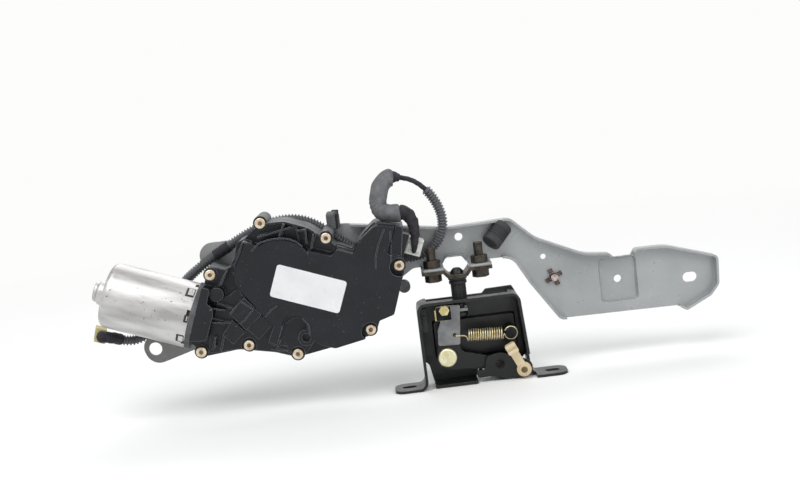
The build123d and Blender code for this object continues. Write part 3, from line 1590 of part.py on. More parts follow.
lever_corners = [
    (158.5, -110.0, 1.5),
    (166.0, -109.4, 1.5),
    (169.0, -97.6, 3),
    (182.0, -95.6, 6),
    (197.0, -102.0, 8),
    (208.3, -106.5, 7),
    (208.0, -119.0, 8),
    (196.0, -121.0, 6),
    (182.0, -119.0, 8),
    (170.0, -116.0, 4),
    (159.0, -116.4, 2),
]
with BuildPart() as release_lever:
    with BuildSketch(row_plane(lever_back)):
        add(rounded_face(lever_corners))
        with Locations(lever_pivot):
            Circle(lever_rivet_stem + running_gap, mode=Mode.SUBTRACT)
        with Locations(rod_clip_at):
            Circle(rod_clip_stem + running_gap, mode=Mode.SUBTRACT)
    extrude(amount=lever_gauge_latch)
    # Pin that reaches back under the hook's arm.
    with BuildSketch(row_plane(arm_back)):
        with Locations(drive_pin_at):
            Circle(drive_pin_radius)
    extrude(amount=lever_back - arm_back)
release_lever.part.label = "release_lever"
export_step(release_lever.part, "parts/release_lever.step")

# Plastic clip that turns on the lever's end and snaps over the pull rod.
clip_direction = Vector(rod_clip_tip[0] - rod_clip_at[0], rod_clip_tip[1] - rod_clip_at[1])
clip_angle = degrees(atan2(clip_direction.Y, clip_direction.X))
clip_plane = Plane(
    origin=(rod_clip_at[0], -lever_front - fit_gap - rod_clip_boss, rod_clip_at[1]),
    x_dir=(clip_direction.X, 0, clip_direction.Y),
    z_dir=(0, -1, 0),
)
clip_width = 7.6
clip_gauge = 3.0
clip_head_length = 9.0
clip_head_width = 9.6
clip_head_gauge = 3.2
rod_seat_width = 2.6
with BuildPart() as rod_clip:
    with BuildSketch(clip_plane):
        Circle(rod_clip_eye)
        with Locations((clip_direction.length / 2, 0)):
            Rectangle(clip_direction.length, clip_width)
    extrude(amount=clip_gauge)
    with BuildSketch(clip_plane.offset(clip_gauge)):
        with Locations((clip_direction.length - clip_head_length / 2, 0)):
            RectangleRounded(clip_head_length, clip_head_width, 1)
    extrude(amount=clip_head_gauge)
    # Collar and pin head at the eye.
    with BuildSketch(clip_plane.offset(clip_gauge)):
        Circle(rod_clip_eye - 1.8)
    extrude(amount=1.2)
    with BuildSketch(clip_plane.offset(clip_gauge)):
        Circle(rod_clip_pin)
    extrude(amount=2.0)
    # Seat for the rod.
    with BuildSketch(clip_plane.offset(clip_gauge + 1.2)):
        with Locations((clip_direction.length - clip_head_length / 2, 0)):
            Rectangle(rod_seat_width, clip_head_width + 2)
    extrude(amount=clip_head_gauge, mode=Mode.SUBTRACT)
    # Boss and stem into the lever.
    with BuildSketch(clip_plane):
        Circle(rod_clip_eye - 1.8)
    extrude(amount=-rod_clip_boss)
    with BuildSketch(clip_plane):
        Circle(rod_clip_stem)
    extrude(amount=-rod_clip_boss - lever_gauge_latch - fit_gap)
rod_clip.part.label = "rod_clip"
export_step(rod_clip.part, "parts/rod_clip.step")

# Tension spring as its outer sleeve, with its two wire ends.
spring_y = -spring_depth
hole = Vector(spring_hole_at[0], spring_y, spring_hole_at[1])
anchor = Vector(spring_anchor_at[0], spring_y, spring_anchor_at[1])
pull = (anchor - hole).normalized()
coil_start = hole + pull * spring_lead_in
spring_ring_radius = spring_anchor_stem + fit_gap
coil_end = anchor - pull * (spring_ring_radius + spring_wire)
with BuildPart() as hook_spring:
    with BuildSketch(Plane(origin=coil_start, z_dir=pull)):
        Circle(spring_radius)
        Circle(spring_radius - 2 * spring_wire, mode=Mode.SUBTRACT)
    extrude(amount=(coil_end - coil_start).length)
    with BuildSketch(Plane(origin=coil_start, z_dir=pull)):
        Circle(spring_radius - spring_wire)
    extrude(amount=spring_wire)
    with BuildSketch(Plane(origin=coil_end - pull * spring_wire, z_dir=pull)):
        Circle(spring_radius - spring_wire)
    extrude(amount=spring_wire)
    # Ring round the anchor pin.
    with BuildSketch(row_plane(spring_depth - spring_wire / 2)):
        with Locations((anchor.X, anchor.Z)):
            Circle(spring_ring_radius + spring_wire)
            Circle(spring_ring_radius, mode=Mode.SUBTRACT)
    extrude(amount=spring_wire)
    # Straight end, turned back through the hook's hole.
    with BuildLine():
        FilletPolyline(coil_start + pull, hole, hole + Vector(0, spring_depth - hook_back + 1.5, 0), radius=1.2)
    with BuildSketch(Plane(origin=coil_start + pull, z_dir=-pull)):
        Circle(spring_wire / 2)
    sweep()
hook_spring.part.label = "hook_spring"
export_step(hook_spring.part, "parts/hook_spring.step")

switch_width = 5.5
switch_height = 21.0
switch_gauge = 11.0
switch_left = frame_left + latch_gauge + 0.4
switch_z = -61.0
with BuildPart() as latch_switch:
    with BuildSketch(row_plane(wall_start)):
        with Locations((switch_left + switch_width / 2, switch_z)):
            RectangleRounded(switch_width, switch_height, 1)
    extrude(amount=switch_gauge)
    with BuildSketch(row_plane(wall_start + switch_gauge)):
        with Locations((switch_left + switch_width / 2, switch_z)):
            Rectangle(2.5, 8)
    extrude(amount=1.5)
latch_switch.part.label = "latch_switch"
export_step(latch_switch.part, "parts/latch_switch.step")

buffer_x = 184.0
buffer_width = 13.0
buffer_bottom = ear_top - latch_gauge
buffer_height = 9.0
buffer_front = lever_back - 1.0
with BuildPart() as latch_buffer:
    with BuildSketch(row_plane(wall_start)):
        with Locations((buffer_x, buffer_bottom + buffer_height / 2)):
            RectangleRounded(buffer_width, buffer_height, 2.5)
    extrude(amount=buffer_front - wall_start)
latch_buffer.part.label = "latch_buffer"
export_step(latch_buffer.part, "parts/latch_buffer.step")

# ============================================================================================
# Wiring lead, clipped along the top of the gearmotor between its two plugs
# ============================================================================================
def along_route(points):
    """Points given as (X, depth, Z) in the frame of the model."""
    return [Vector(x, -depth, z) for x, depth, z in points]


def corner_radii(points):
    """As large an arc at each inner corner as its two runs allow."""
    radii = []
    for before, corner, after in zip(points, points[1:], points[2:]):
        arriving = corner - before
        leaving = after - corner
        half_turn = radians(arriving.get_angle(leaving)) / 2
        radii.append(0.45 * min(arriving.length, leaving.length) / tan(half_turn))
    return radii


def tube(points, radius):
    """A round tube along straight runs joined by tangent arcs."""
    radii = corner_radii(points)
    print("tube radius", radius, "arc radii", [round(r, 1) for r in radii])
    with BuildPart() as part:
        with BuildLine() as path:
            if radii:
                FilletPolyline(*points, radius=radii)
            else:
                Line(*points)
        with BuildSketch(Plane(origin=path.line @ 0, z_dir=path.line % 0)):
            Circle(radius)
        sweep()
    length = sum(edge.length for edge in path.edges())
    ratio = part.part.volume / (pi * radius**2 * length)
    print("   length", round(length, 1), "volume over section times length", round(ratio, 4))
    return part.part


def between(start, end, share):
    """A point on a straight run, where one covering of the lead gives way to the next."""
    return start + (end - start) * share


lead_end_x, lead_end_z = tilted_xz(plug_p + plug_length / 2, plug_q + plug_width / 2)
lead_turn_x, lead_turn_z = tilted_xz(plug_p + plug_length / 2, plug_q + plug_width / 2 + 11)
lead = along_route([
    (-168.0, 41.0, -42.0),
    (-147.0, 36.6, -50.0),
    (-134.5, 33.0, -48.6),
    (-123.5, 28.5, -41.0),
    (-112.0, 23.2, -25.0),
    (-99.0, 23.2, -11.0),
    (-84.5, 31.0, 3.0),
    (-52.0, 31.0, 22.0),
    (-18.0, 31.0, 38.5),
    (10.0, 31.0, 43.0),
    (33.0, 31.0, 35.0),
    (52.0, 30.9, 16.0),
    (79.0, 31.0, 0.0),
    (105.0, 31.0, -6.5),
    (124.0, 34.0, -5.0),
    (138.0, 37.0, 4.5),
    (144.5, 39.5, 18.0),
    (144.5, 41.5, 32.0),
    (138.5, 44.0, 46.5),
    (127.0, 46.0, 61.0),
    (116.0, 47.5, 69.0),
    (99.0, 50.0, 71.5),
    (89.8, 53.5, 62.0),
    (89.8, 57.5, 49.0),
    (98.9, 61.0, 40.5),
    (115.0, 60.5, 39.5),
    (122.5, 57.0, 33.0),
    (lead_turn_x, plug_back + plug_height / 2, lead_turn_z),
    (lead_end_x, plug_back + plug_height / 2, lead_end_z),
])
sleeve_end = between(lead[0], lead[1], 0.62)
conduit_end = between(lead[18], lead[19], 0.5)
foam_start = between(lead[20], lead[21], 0.45)
foam_end = between(lead[24], lead[25], 0.6)

with BuildPart() as harness_sleeve:
    add(tube([lead[0], sleeve_end], sleeve_tape_radius))
harness_sleeve.part.label = "harness_sleeve"
export_step(harness_sleeve.part, "parts/harness_sleeve.step")

with BuildPart() as harness_conduit:
    add(tube([sleeve_end] + lead[1:19] + [conduit_end], conduit_radius))
harness_conduit.part.label = "harness_conduit"
export_step(harness_conduit.part, "parts/harness_conduit.step")

# The bare stretches of the lead, on either side of the foam.
with BuildPart() as harness_cable:
    add(tube([conduit_end] + lead[19:21] + [foam_start], cable_radius))
    add(tube([foam_end] + lead[25:], plug_lead_radius))
harness_cable.part.label = "harness_cable"
export_step(harness_cable.part, "parts/harness_cable.step")

with BuildPart() as foam_sleeve:
    add(tube([foam_start] + lead[21:25] + [foam_end], foam_radius))
foam_sleeve.part.label = "foam_sleeve"
export_step(foam_sleeve.part, "parts/foam_sleeve.step")

with BuildPart() as motor_plug:
    with BuildSketch(motor_plane(plug_back)):
        with Locations((plug_p + plug_length / 2, plug_q)):
            RectangleRounded(plug_length, plug_width, 0.8)
    extrude(amount=plug_height)
    # Locking tongue and finger ledge on the face away from the bracket.
    with BuildSketch(motor_plane(plug_back + plug_height)):
        with Locations((plug_p + plug_length / 2, plug_q)):
            Rectangle(plug_length - 2, 5)
    extrude(amount=1.6)
motor_plug.part.label = "motor_plug"
export_step(motor_plug.part, "parts/motor_plug.step")

body_plug_plane = Plane(origin=lead[0], z_dir=lead[0] - lead[1])
with BuildPart() as body_plug:
    with BuildSketch(body_plug_plane):
        RectangleRounded(16, 20, 1)
    extrude(amount=13)
    with BuildSketch(body_plug_plane.offset(13)):
        RectangleRounded(13, 17, 1)
    extrude(amount=-9, mode=Mode.SUBTRACT)
    with BuildSketch(body_plug_plane.offset(4)):
        with GridLocations(4, 5, 3, 2):
            Rectangle(0.8, 0.8)
    extrude(amount=6)
body_plug.part.label = "body_plug"
export_step(body_plug.part, "parts/body_plug.step")

# Clip in the web that loops over the conduit, with its strap's tail standing up behind.
conduit_depth = 31.0
slope = sqrt(0.5)
loop_plane = Plane(
    origin=(loop_clip_x, -conduit_depth, loop_clip_z), x_dir=(slope, 0, slope), z_dir=(slope, 0, -slope)
)
loop_inner = conduit_radius + fit_gap
loop_outer = loop_inner + loop_clip_wall
web_below = conduit_depth - web_front
loop_mouth = conduit_radius - 0.3   # the clip is open towards the housing
stem_x = loop_clip_x - loop_clip_reach * slope
stem_z = loop_clip_z - loop_clip_reach * slope
with BuildPart() as loop_clip:
    with BuildSketch(loop_plane.offset(-loop_clip_width / 2)):
        Circle(loop_outer)
        Circle(loop_inner, mode=Mode.SUBTRACT)
        with Locations((0, -web_below - loop_outer / 2), (0, loop_mouth + loop_outer / 2)):
            Rectangle(2 * loop_outer, loop_outer, mode=Mode.SUBTRACT)
        with Locations((-(loop_inner + loop_clip_reach + clip_stem) / 2, 1 - web_below)):
            Rectangle(loop_clip_reach + clip_stem - loop_inner, 2)
    extrude(amount=loop_clip_width)
    with BuildSketch(row_plane(web_back)):
        with Locations((stem_x, stem_z)):
            Circle(clip_stem)
    extrude(amount=web_gauge)
    with BuildSketch(row_plane(conduit_depth - 1.5)):
        with Locations((loop_clip_x, loop_clip_z)):
            add(rounded_face([(5.0, 3.5, 0.5), (9.0, 1.5, 0.5), (11.5, 19.0, 1), (5.0, 19.5, 1)]))
    extrude(amount=3)
loop_clip.part.label = "loop_clip"
export_step(loop_clip.part, "parts/loop_clip.step")
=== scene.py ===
import json
from math import cos, pi, radians, sin, sqrt

import bpy
from mathutils import Matrix, Vector, noise
from mathutils.bvhtree import BVHTree


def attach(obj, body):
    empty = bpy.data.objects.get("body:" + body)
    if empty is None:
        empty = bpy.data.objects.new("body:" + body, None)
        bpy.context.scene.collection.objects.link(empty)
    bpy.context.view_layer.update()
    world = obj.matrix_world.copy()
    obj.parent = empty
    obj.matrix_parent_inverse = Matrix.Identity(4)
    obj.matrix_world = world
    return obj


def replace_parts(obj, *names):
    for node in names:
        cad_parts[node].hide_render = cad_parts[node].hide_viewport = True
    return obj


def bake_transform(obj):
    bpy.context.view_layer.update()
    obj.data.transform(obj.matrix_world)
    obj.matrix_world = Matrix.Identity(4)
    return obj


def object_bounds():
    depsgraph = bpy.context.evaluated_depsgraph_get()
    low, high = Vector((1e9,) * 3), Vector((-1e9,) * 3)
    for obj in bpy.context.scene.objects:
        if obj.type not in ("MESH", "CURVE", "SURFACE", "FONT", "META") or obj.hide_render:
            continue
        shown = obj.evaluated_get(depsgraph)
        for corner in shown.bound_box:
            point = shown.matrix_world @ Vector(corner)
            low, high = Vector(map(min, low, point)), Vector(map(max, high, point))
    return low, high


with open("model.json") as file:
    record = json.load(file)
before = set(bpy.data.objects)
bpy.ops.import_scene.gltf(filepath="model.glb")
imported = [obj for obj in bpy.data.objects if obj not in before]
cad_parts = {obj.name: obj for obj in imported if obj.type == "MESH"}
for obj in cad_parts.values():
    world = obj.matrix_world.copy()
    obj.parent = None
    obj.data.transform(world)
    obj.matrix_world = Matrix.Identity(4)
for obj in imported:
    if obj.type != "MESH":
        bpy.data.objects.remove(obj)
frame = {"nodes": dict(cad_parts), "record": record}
cad_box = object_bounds()

MM = 0.001
MOTOR_TILT = radians(21.5)      # the gearmotor hangs turned down by this angle about the spindle


def point(x, depth, z):
    """A place in the row frame from millimetres: along X, towards the cover side, and up."""
    return Vector((x, -depth, z)) * MM


def tilted(p, depth, q):
    """The same, from distances along (p) and across (q) the tilted shaft of the motor."""
    x = p * cos(MOTOR_TILT) + q * sin(MOTOR_TILT)
    z = q * cos(MOTOR_TILT) - p * sin(MOTOR_TILT)
    return point(x, depth, z)


# ---- Camera --------------------------------------------------------------------------------
IMAGE_WIDTH = 800
FOCAL_PIXELS = 1100
SENSOR = 36
CAMERA_AT = Vector((0.1042, -1.0087, 0.1390))
LOOKS_DOWN = radians(8)
ROLL = radians(7)

ahead = Vector((0, cos(LOOKS_DOWN), -sin(LOOKS_DOWN)))
level_up = Vector((0, sin(LOOKS_DOWN), cos(LOOKS_DOWN)))
right = Vector((cos(ROLL), 0, 0)) - sin(ROLL) * level_up
up = Vector((sin(ROLL), 0, 0)) + cos(ROLL) * level_up
camera = bpy.data.objects.new("camera", bpy.data.cameras.new("camera"))
camera.data.sensor_width = SENSOR
camera.data.lens = SENSOR * FOCAL_PIXELS / IMAGE_WIDTH
turn = Matrix((right, up, -ahead)).transposed()
camera.matrix_world = Matrix.Translation(CAMERA_AT) @ turn.to_4x4()
bpy.context.scene.collection.objects.link(camera)
bpy.context.scene.camera = camera

# ---- The wiring lead's route, which the object holds from plug to plug ----------------------
LEAD = [point(*xyz) for xyz in (
    (-168.0, 41.0, -42.0),
    (-147.0, 36.6, -50.0),
    (-134.5, 33.0, -48.6),
    (-123.5, 28.5, -41.0),
    (-112.0, 23.2, -25.0),
    (-99.0, 23.2, -11.0),
    (-84.5, 31.0, 3.0),
    (-52.0, 31.0, 22.0),
    (-18.0, 31.0, 38.5),
    (10.0, 31.0, 43.0),
    (33.0, 31.0, 35.0),
    (52.0, 30.9, 16.0),
    (79.0, 31.0, 0.0),
    (105.0, 31.0, -6.5),
    (124.0, 34.0, -5.0),
    (138.0, 37.0, 4.5),
    (144.5, 39.5, 18.0),
    (144.5, 41.5, 32.0),
    (138.0, 44.0, 48.0),
    (127.5, 46.0, 60.5),
    (116.0, 47.5, 67.0),
    (101.5, 50.0, 69.5),
    (92.5, 53.0, 62.0),
    (88.8, 57.0, 42.0),
    (100.5, 61.0, 38.0),
    (111.5, 61.5, 38.5),
    (118.0, 62.5, 31.5),
    (119.0, 64.0, 18.0),
    (117.0, 63.8, 9.0),
    (116.2, 59.0, 2.5),
)]
# Where its covering changes.
sleeve_end = LEAD[0].lerp(LEAD[1], 0.62)
conduit_end = LEAD[18].lerp(LEAD[19], 0.5)
foam_start = LEAD[20].lerp(LEAD[21], 0.75)
foam_end = LEAD[24].lerp(LEAD[25], 0.75)
CONDUIT_RADIUS = 4.6 * MM
CABLE_RADIUS = 2.3 * MM
FOAM_RADIUS = 7.8 * MM
SLEEVE_RADIUS = 5.3 * MM


# ============================================================================================
# Materials
# ============================================================================================
def linear(hex_colour):
    """A colour written as six hexadecimal digits, as the linear colour the shader wants."""
    parts = [int(hex_colour[i:i + 2], 16) / 255 for i in (0, 2, 4)]
    return [c / 12.92 if c <= 0.04045 else ((c + 0.055) / 1.055) ** 2.4 for c in parts] + [1.0]


WIDE = (0.3, 0.7)               # spans of the noise over which a colour or roughness goes all the way
NARROW = (0.35, 0.65)
BEVEL_SAMPLES = 6
FLAT, SHARP = 0.995, 0.90       # agreement of the softened normal with the true one, on flats and at edges
SPECK_EDGE = 0.03               # how far above its threshold the noise makes a full speck
GRIME_EDGE = 0.05


class Shader:
    """A procedural material, built up layer by layer over one Principled shader."""

    def __init__(self, name, metallic=0.0, coat=0.0, coat_roughness=0.2, specular=0.5):
        self.material = bpy.data.materials.new(name)
        self.material.use_nodes = True
        self.nodes = self.material.node_tree.nodes
        self.links = self.material.node_tree.links
        self.bsdf = self.nodes["Principled BSDF"]
        self.bsdf.inputs["Metallic"].default_value = metallic
        self.bsdf.inputs["Coat Weight"].default_value = coat
        self.bsdf.inputs["Coat Roughness"].default_value = coat_roughness
        self.bsdf.inputs["Specular IOR Level"].default_value = specular
        self.place = self.nodes.new("ShaderNodeTexCoord").outputs["Object"]

    def along(self, axis):
        """The object coordinate along X, Y or Z."""
        node = self.nodes.new("ShaderNodeSeparateXYZ")
        self.links.new(self.place, node.inputs["Vector"])
        return node.outputs[axis]

    def away_from(self, centre):
        """Distance of the shaded place from a centre, in metres."""
        node = self.nodes.new("ShaderNodeVectorMath")
        node.operation = "DISTANCE"
        node.inputs[1].default_value = centre
        self.links.new(self.place, node.inputs[0])
        return node.outputs["Value"]

    def noise(self, scale, detail=3.0, stretch=None, distortion=0.0, turned=0.0):
        """Noise with so many waves to the metre, drawn out along the axes after a turn about Y."""
        node = self.nodes.new("ShaderNodeTexNoise")
        node.inputs["Scale"].default_value = scale
        node.inputs["Detail"].default_value = detail
        node.inputs["Distortion"].default_value = distortion
        source = self.place
        if stretch:
            mapping = self.nodes.new("ShaderNodeMapping")
            mapping.vector_type = "TEXTURE"
            mapping.inputs["Rotation"].default_value = (0, turned, 0)
            mapping.inputs["Scale"].default_value = stretch
            self.links.new(source, mapping.inputs["Vector"])
            source = mapping.outputs["Vector"]
        self.links.new(source, node.inputs["Vector"])
        return node.outputs["Fac"]

    def ranged(self, value, low, high, to_low=0.0, to_high=1.0):
        """A value's span from low to high, spread over another span and held at its ends."""
        node = self.nodes.new("ShaderNodeMapRange")
        sockets = ("From Min", "From Max", "To Min", "To Max")
        for socket, number in zip(sockets, (low, high, to_low, to_high)):
            node.inputs[socket].default_value = number
        self.links.new(value, node.inputs["Value"])
        return node.outputs["Result"]

    def blend(self, mask, below, above):
        """Colour above laid over colour below where the mask is 1. Either may be a link or a colour."""
        node = self.nodes.new("ShaderNodeMix")
        node.data_type = "RGBA"
        self.links.new(mask, node.inputs["Factor"])
        sockets = [s for s in node.inputs if s.type == "RGBA"]
        for socket, colour in zip(sockets, (below, above)):
            if isinstance(colour, list):
                socket.default_value = colour
            else:
                self.links.new(colour, socket)
        return [s for s in node.outputs if s.type == "RGBA"][0]

    def edges(self, radius):
        """1 along convex and concave edges within the radius, 0 on flats, and the softened normal."""
        bevel = self.nodes.new("ShaderNodeBevel")
        bevel.samples = BEVEL_SAMPLES
        bevel.inputs["Radius"].default_value = radius
        geometry = self.nodes.new("ShaderNodeNewGeometry")
        dot = self.nodes.new("ShaderNodeVectorMath")
        dot.operation = "DOT_PRODUCT"
        self.links.new(bevel.outputs["Normal"], dot.inputs[0])
        self.links.new(geometry.outputs["Normal"], dot.inputs[1])
        return self.ranged(dot.outputs["Value"], FLAT, SHARP), bevel.outputs["Normal"]

    def bump(self, height, distance, normal=None):
        """The normal of a relief so deep, on top of another normal if one is given."""
        node = self.nodes.new("ShaderNodeBump")
        node.inputs["Distance"].default_value = distance
        node.inputs["Strength"].default_value = 1.0
        self.links.new(height, node.inputs["Height"])
        if normal:
            self.links.new(normal, node.inputs["Normal"])
        return node.outputs["Normal"]

    def finish(self, colour, roughness, normal=None):
        """The material, once its colour, roughness and relief are known."""
        self.links.new(colour, self.bsdf.inputs["Base Color"])
        self.links.new(roughness, self.bsdf.inputs["Roughness"])
        if normal:
            self.links.new(normal, self.bsdf.inputs["Normal"])
        return self.material


METAL_EDGE = 0.35 * MM
METAL_GRAIN = 1400              # waves to the metre, here and in the scales below


def metal(name, light, dark, rough=0.35, bumpiness=0.03, worn=None, stretch=None, scale=70, grime=None,
          metallic=0.9, turned=0.0, grime_scale=900, grime_amount=0.66, zones=()):
    """Bare or plated metal with a mottled surface, softened edges and, if wanted, specks of grime.

    Each zone is a function of the shader that gives a mask, and the two colours it has there.
    """
    s = Shader(name, metallic=metallic)
    mottle = s.ranged(s.noise(scale, 4, stretch, turned=turned), *NARROW)
    colour = s.blend(mottle, linear(dark), linear(light))
    for mask, zone_light, zone_dark in zones:
        colour = s.blend(mask(s), colour, s.blend(mottle, linear(zone_dark), linear(zone_light)))
    edge, soft = s.edges(METAL_EDGE)
    if worn:
        colour = s.blend(edge, colour, linear(worn))
    if grime:
        spots = s.ranged(s.noise(grime_scale, 2), grime_amount, grime_amount + GRIME_EDGE)
        colour = s.blend(spots, colour, linear(grime))
    roughness = s.ranged(s.noise(scale * 4, 3, stretch, turned=turned), *WIDE, rough - 0.07, rough + 0.09)
    normal = s.bump(s.noise(METAL_GRAIN, 3, stretch, turned=turned), bumpiness * MM, soft)
    return s.finish(colour, roughness, normal)


PLASTIC_MOTTLE, PLASTIC_ZONE_MOTTLE, PLASTIC_SHINE = 45, 200, 120
PLASTIC_GRAIN = 1600
DUST_SPECKS, DUST_FILM = 1100, 28
FILM_SPAN = (0.48, 0.8)


def plastic(name, colour, shade, rough=0.45, grain=0.05, coat=0.0, dust=None, dust_amount=0.74, film=0.03,
            edge_wear_and_highlight=None, edge_lightening=0.45, edge_width=0.4, specular=0.5, zones=()):
    """Moulded plastic or rubber with a fine grain, softened edges and, if wanted, dust and lightened edges,
    which stand partly for wear and partly as painted highlight.
    """
    s = Shader(name, coat=coat, coat_roughness=0.25, specular=specular)
    base = s.blend(s.ranged(s.noise(PLASTIC_MOTTLE, 4), *WIDE), linear(colour), linear(shade))
    for mask, zone_light, zone_dark in zones:
        place = mask(s)
        mottle = s.ranged(s.noise(PLASTIC_ZONE_MOTTLE, 3), *WIDE)
        base = s.blend(place, base, s.blend(mottle, linear(zone_dark), linear(zone_light)))
    edge, soft = s.edges(edge_width * MM)
    # Lightened edges, convex and concave alike: partly wear, partly a painted highlight along them.
    if edge_wear_and_highlight:
        base = s.blend(s.ranged(edge, 0, 1, 0, edge_lightening), base, linear(edge_wear_and_highlight))
    if dust:
        specks = s.ranged(s.noise(DUST_SPECKS, 1), dust_amount, dust_amount + SPECK_EDGE)
        base = s.blend(specks, base, linear(dust))
        film_mask = s.ranged(s.noise(DUST_FILM, 5, distortion=1.5), *FILM_SPAN, 0.0, film)
        base = s.blend(film_mask, base, linear(dust))
    roughness = s.ranged(s.noise(PLASTIC_SHINE, 4), *WIDE, rough - 0.06, rough + 0.1)
    normal = s.bump(s.noise(PLASTIC_GRAIN, 2), grain * MM, soft)
    return s.finish(base, roughness, normal)


PAINT_EDGE = 0.5 * MM
PAINT_CLOUDS, PAINT_SHINE, PAINT_CHIPS = 22, 90, 240
PAINT_SPECKS, PAINT_PEEL = 700, 500
PEEL_DEPTH = 0.02


def paint(name, colour, shade, rough, worn, chips=0.72, coat=0.15, zones=()):
    """Sprayed paint over steel, chipped on some edges and in a few specks."""
    s = Shader(name, metallic=0.25, coat=coat, coat_roughness=0.3)
    mottle = s.ranged(s.noise(PAINT_CLOUDS, 5, distortion=0.6), *WIDE)
    base = s.blend(mottle, linear(colour), linear(shade))
    for mask, zone_light, zone_dark in zones:
        base = s.blend(mask(s), base, s.blend(mottle, linear(zone_dark), linear(zone_light)))
    edge, soft = s.edges(PAINT_EDGE)
    chipped = s.nodes.new("ShaderNodeMath")
    chipped.operation = "MULTIPLY"
    s.links.new(edge, chipped.inputs[0])
    s.links.new(s.ranged(s.noise(PAINT_CHIPS, 4), 0.5, 0.6), chipped.inputs[1])
    base = s.blend(chipped.outputs["Value"], base, linear(worn))
    specks = s.ranged(s.noise(PAINT_SPECKS, 2), chips, chips + SPECK_EDGE)
    base = s.blend(specks, base, linear(worn))
    roughness = s.ranged(s.noise(PAINT_SHINE, 4), *WIDE, rough - 0.08, rough + 0.1)
    normal = s.bump(s.noise(PAINT_PEEL, 3), PEEL_DEPTH * MM, soft)
    return s.finish(base, roughness, normal)


CLOTH_MOTTLE, CLOTH_SHINE = 160, 300


def cloth(name, colour, shade, rough, thread, depth):
    """Cloth tape or closed-cell foam: matt, with a small irregular relief."""
    s = Shader(name, specular=0.25)
    base = s.blend(s.ranged(s.noise(CLOTH_MOTTLE, 5), *NARROW), linear(colour), linear(shade))
    roughness = s.ranged(s.noise(CLOTH_SHINE, 2), *WIDE, rough - 0.1, min(rough + 0.1, 1.0))
    normal = s.bump(s.noise(thread, 4), depth * MM)
    return s.finish(base, roughness, normal)


ZONE_SOFT = 0.2                 # half the width of a zone's edge, in mm


def right_of(x):
    """A zone on the +X side of a place in millimetres."""
    return lambda s: s.ranged(s.along("X"), (x - ZONE_SOFT) * MM, (x + ZONE_SOFT) * MM)


def left_of(x, soft=ZONE_SOFT):
    """A zone on the -X side of a place in millimetres, with an edge so soft."""
    return lambda s: s.ranged(s.along("X"), (x + soft) * MM, (x - soft) * MM)


def behind(depth):
    """A zone that lies further from the cover side than a depth in millimetres."""
    return lambda s: s.ranged(s.along("Y"), (-depth - ZONE_SOFT / 2) * MM, (-depth + ZONE_SOFT / 2) * MM)


def within(centre, radius):
    """A zone inside a ball round a centre, all in metres."""
    return lambda s: s.ranged(s.away_from(centre), radius, radius - ZONE_SOFT * MM)


SCREW_RECESS_DEPTH = 74.4       # the floor of the sockets in the screws' heads lies behind this depth, and behind it the screws are painted dark as shade
PUSH_CLIP_DEPTH = 31.5          # the push clip's bright middle stands in front of its dark wings
PIN_SPLIT_X = 150               # the hook's rivet is left of this, the black pins right of it
STUD_BLOCK_FRONT = 62.8         # the stud's gold head stands in front of its dark block
STUD_BLOCK_LEFT = 128.6         # left of this the block has a gold edge
CLIP_EYE = point(200.0, 68.5, -112.0)
CLIP_EYE_RADIUS = 3.0 * MM
TAB_X = -70                     # the bracket's left tab is painted darker than the rest, as painted shade
TAB_FADE = 25

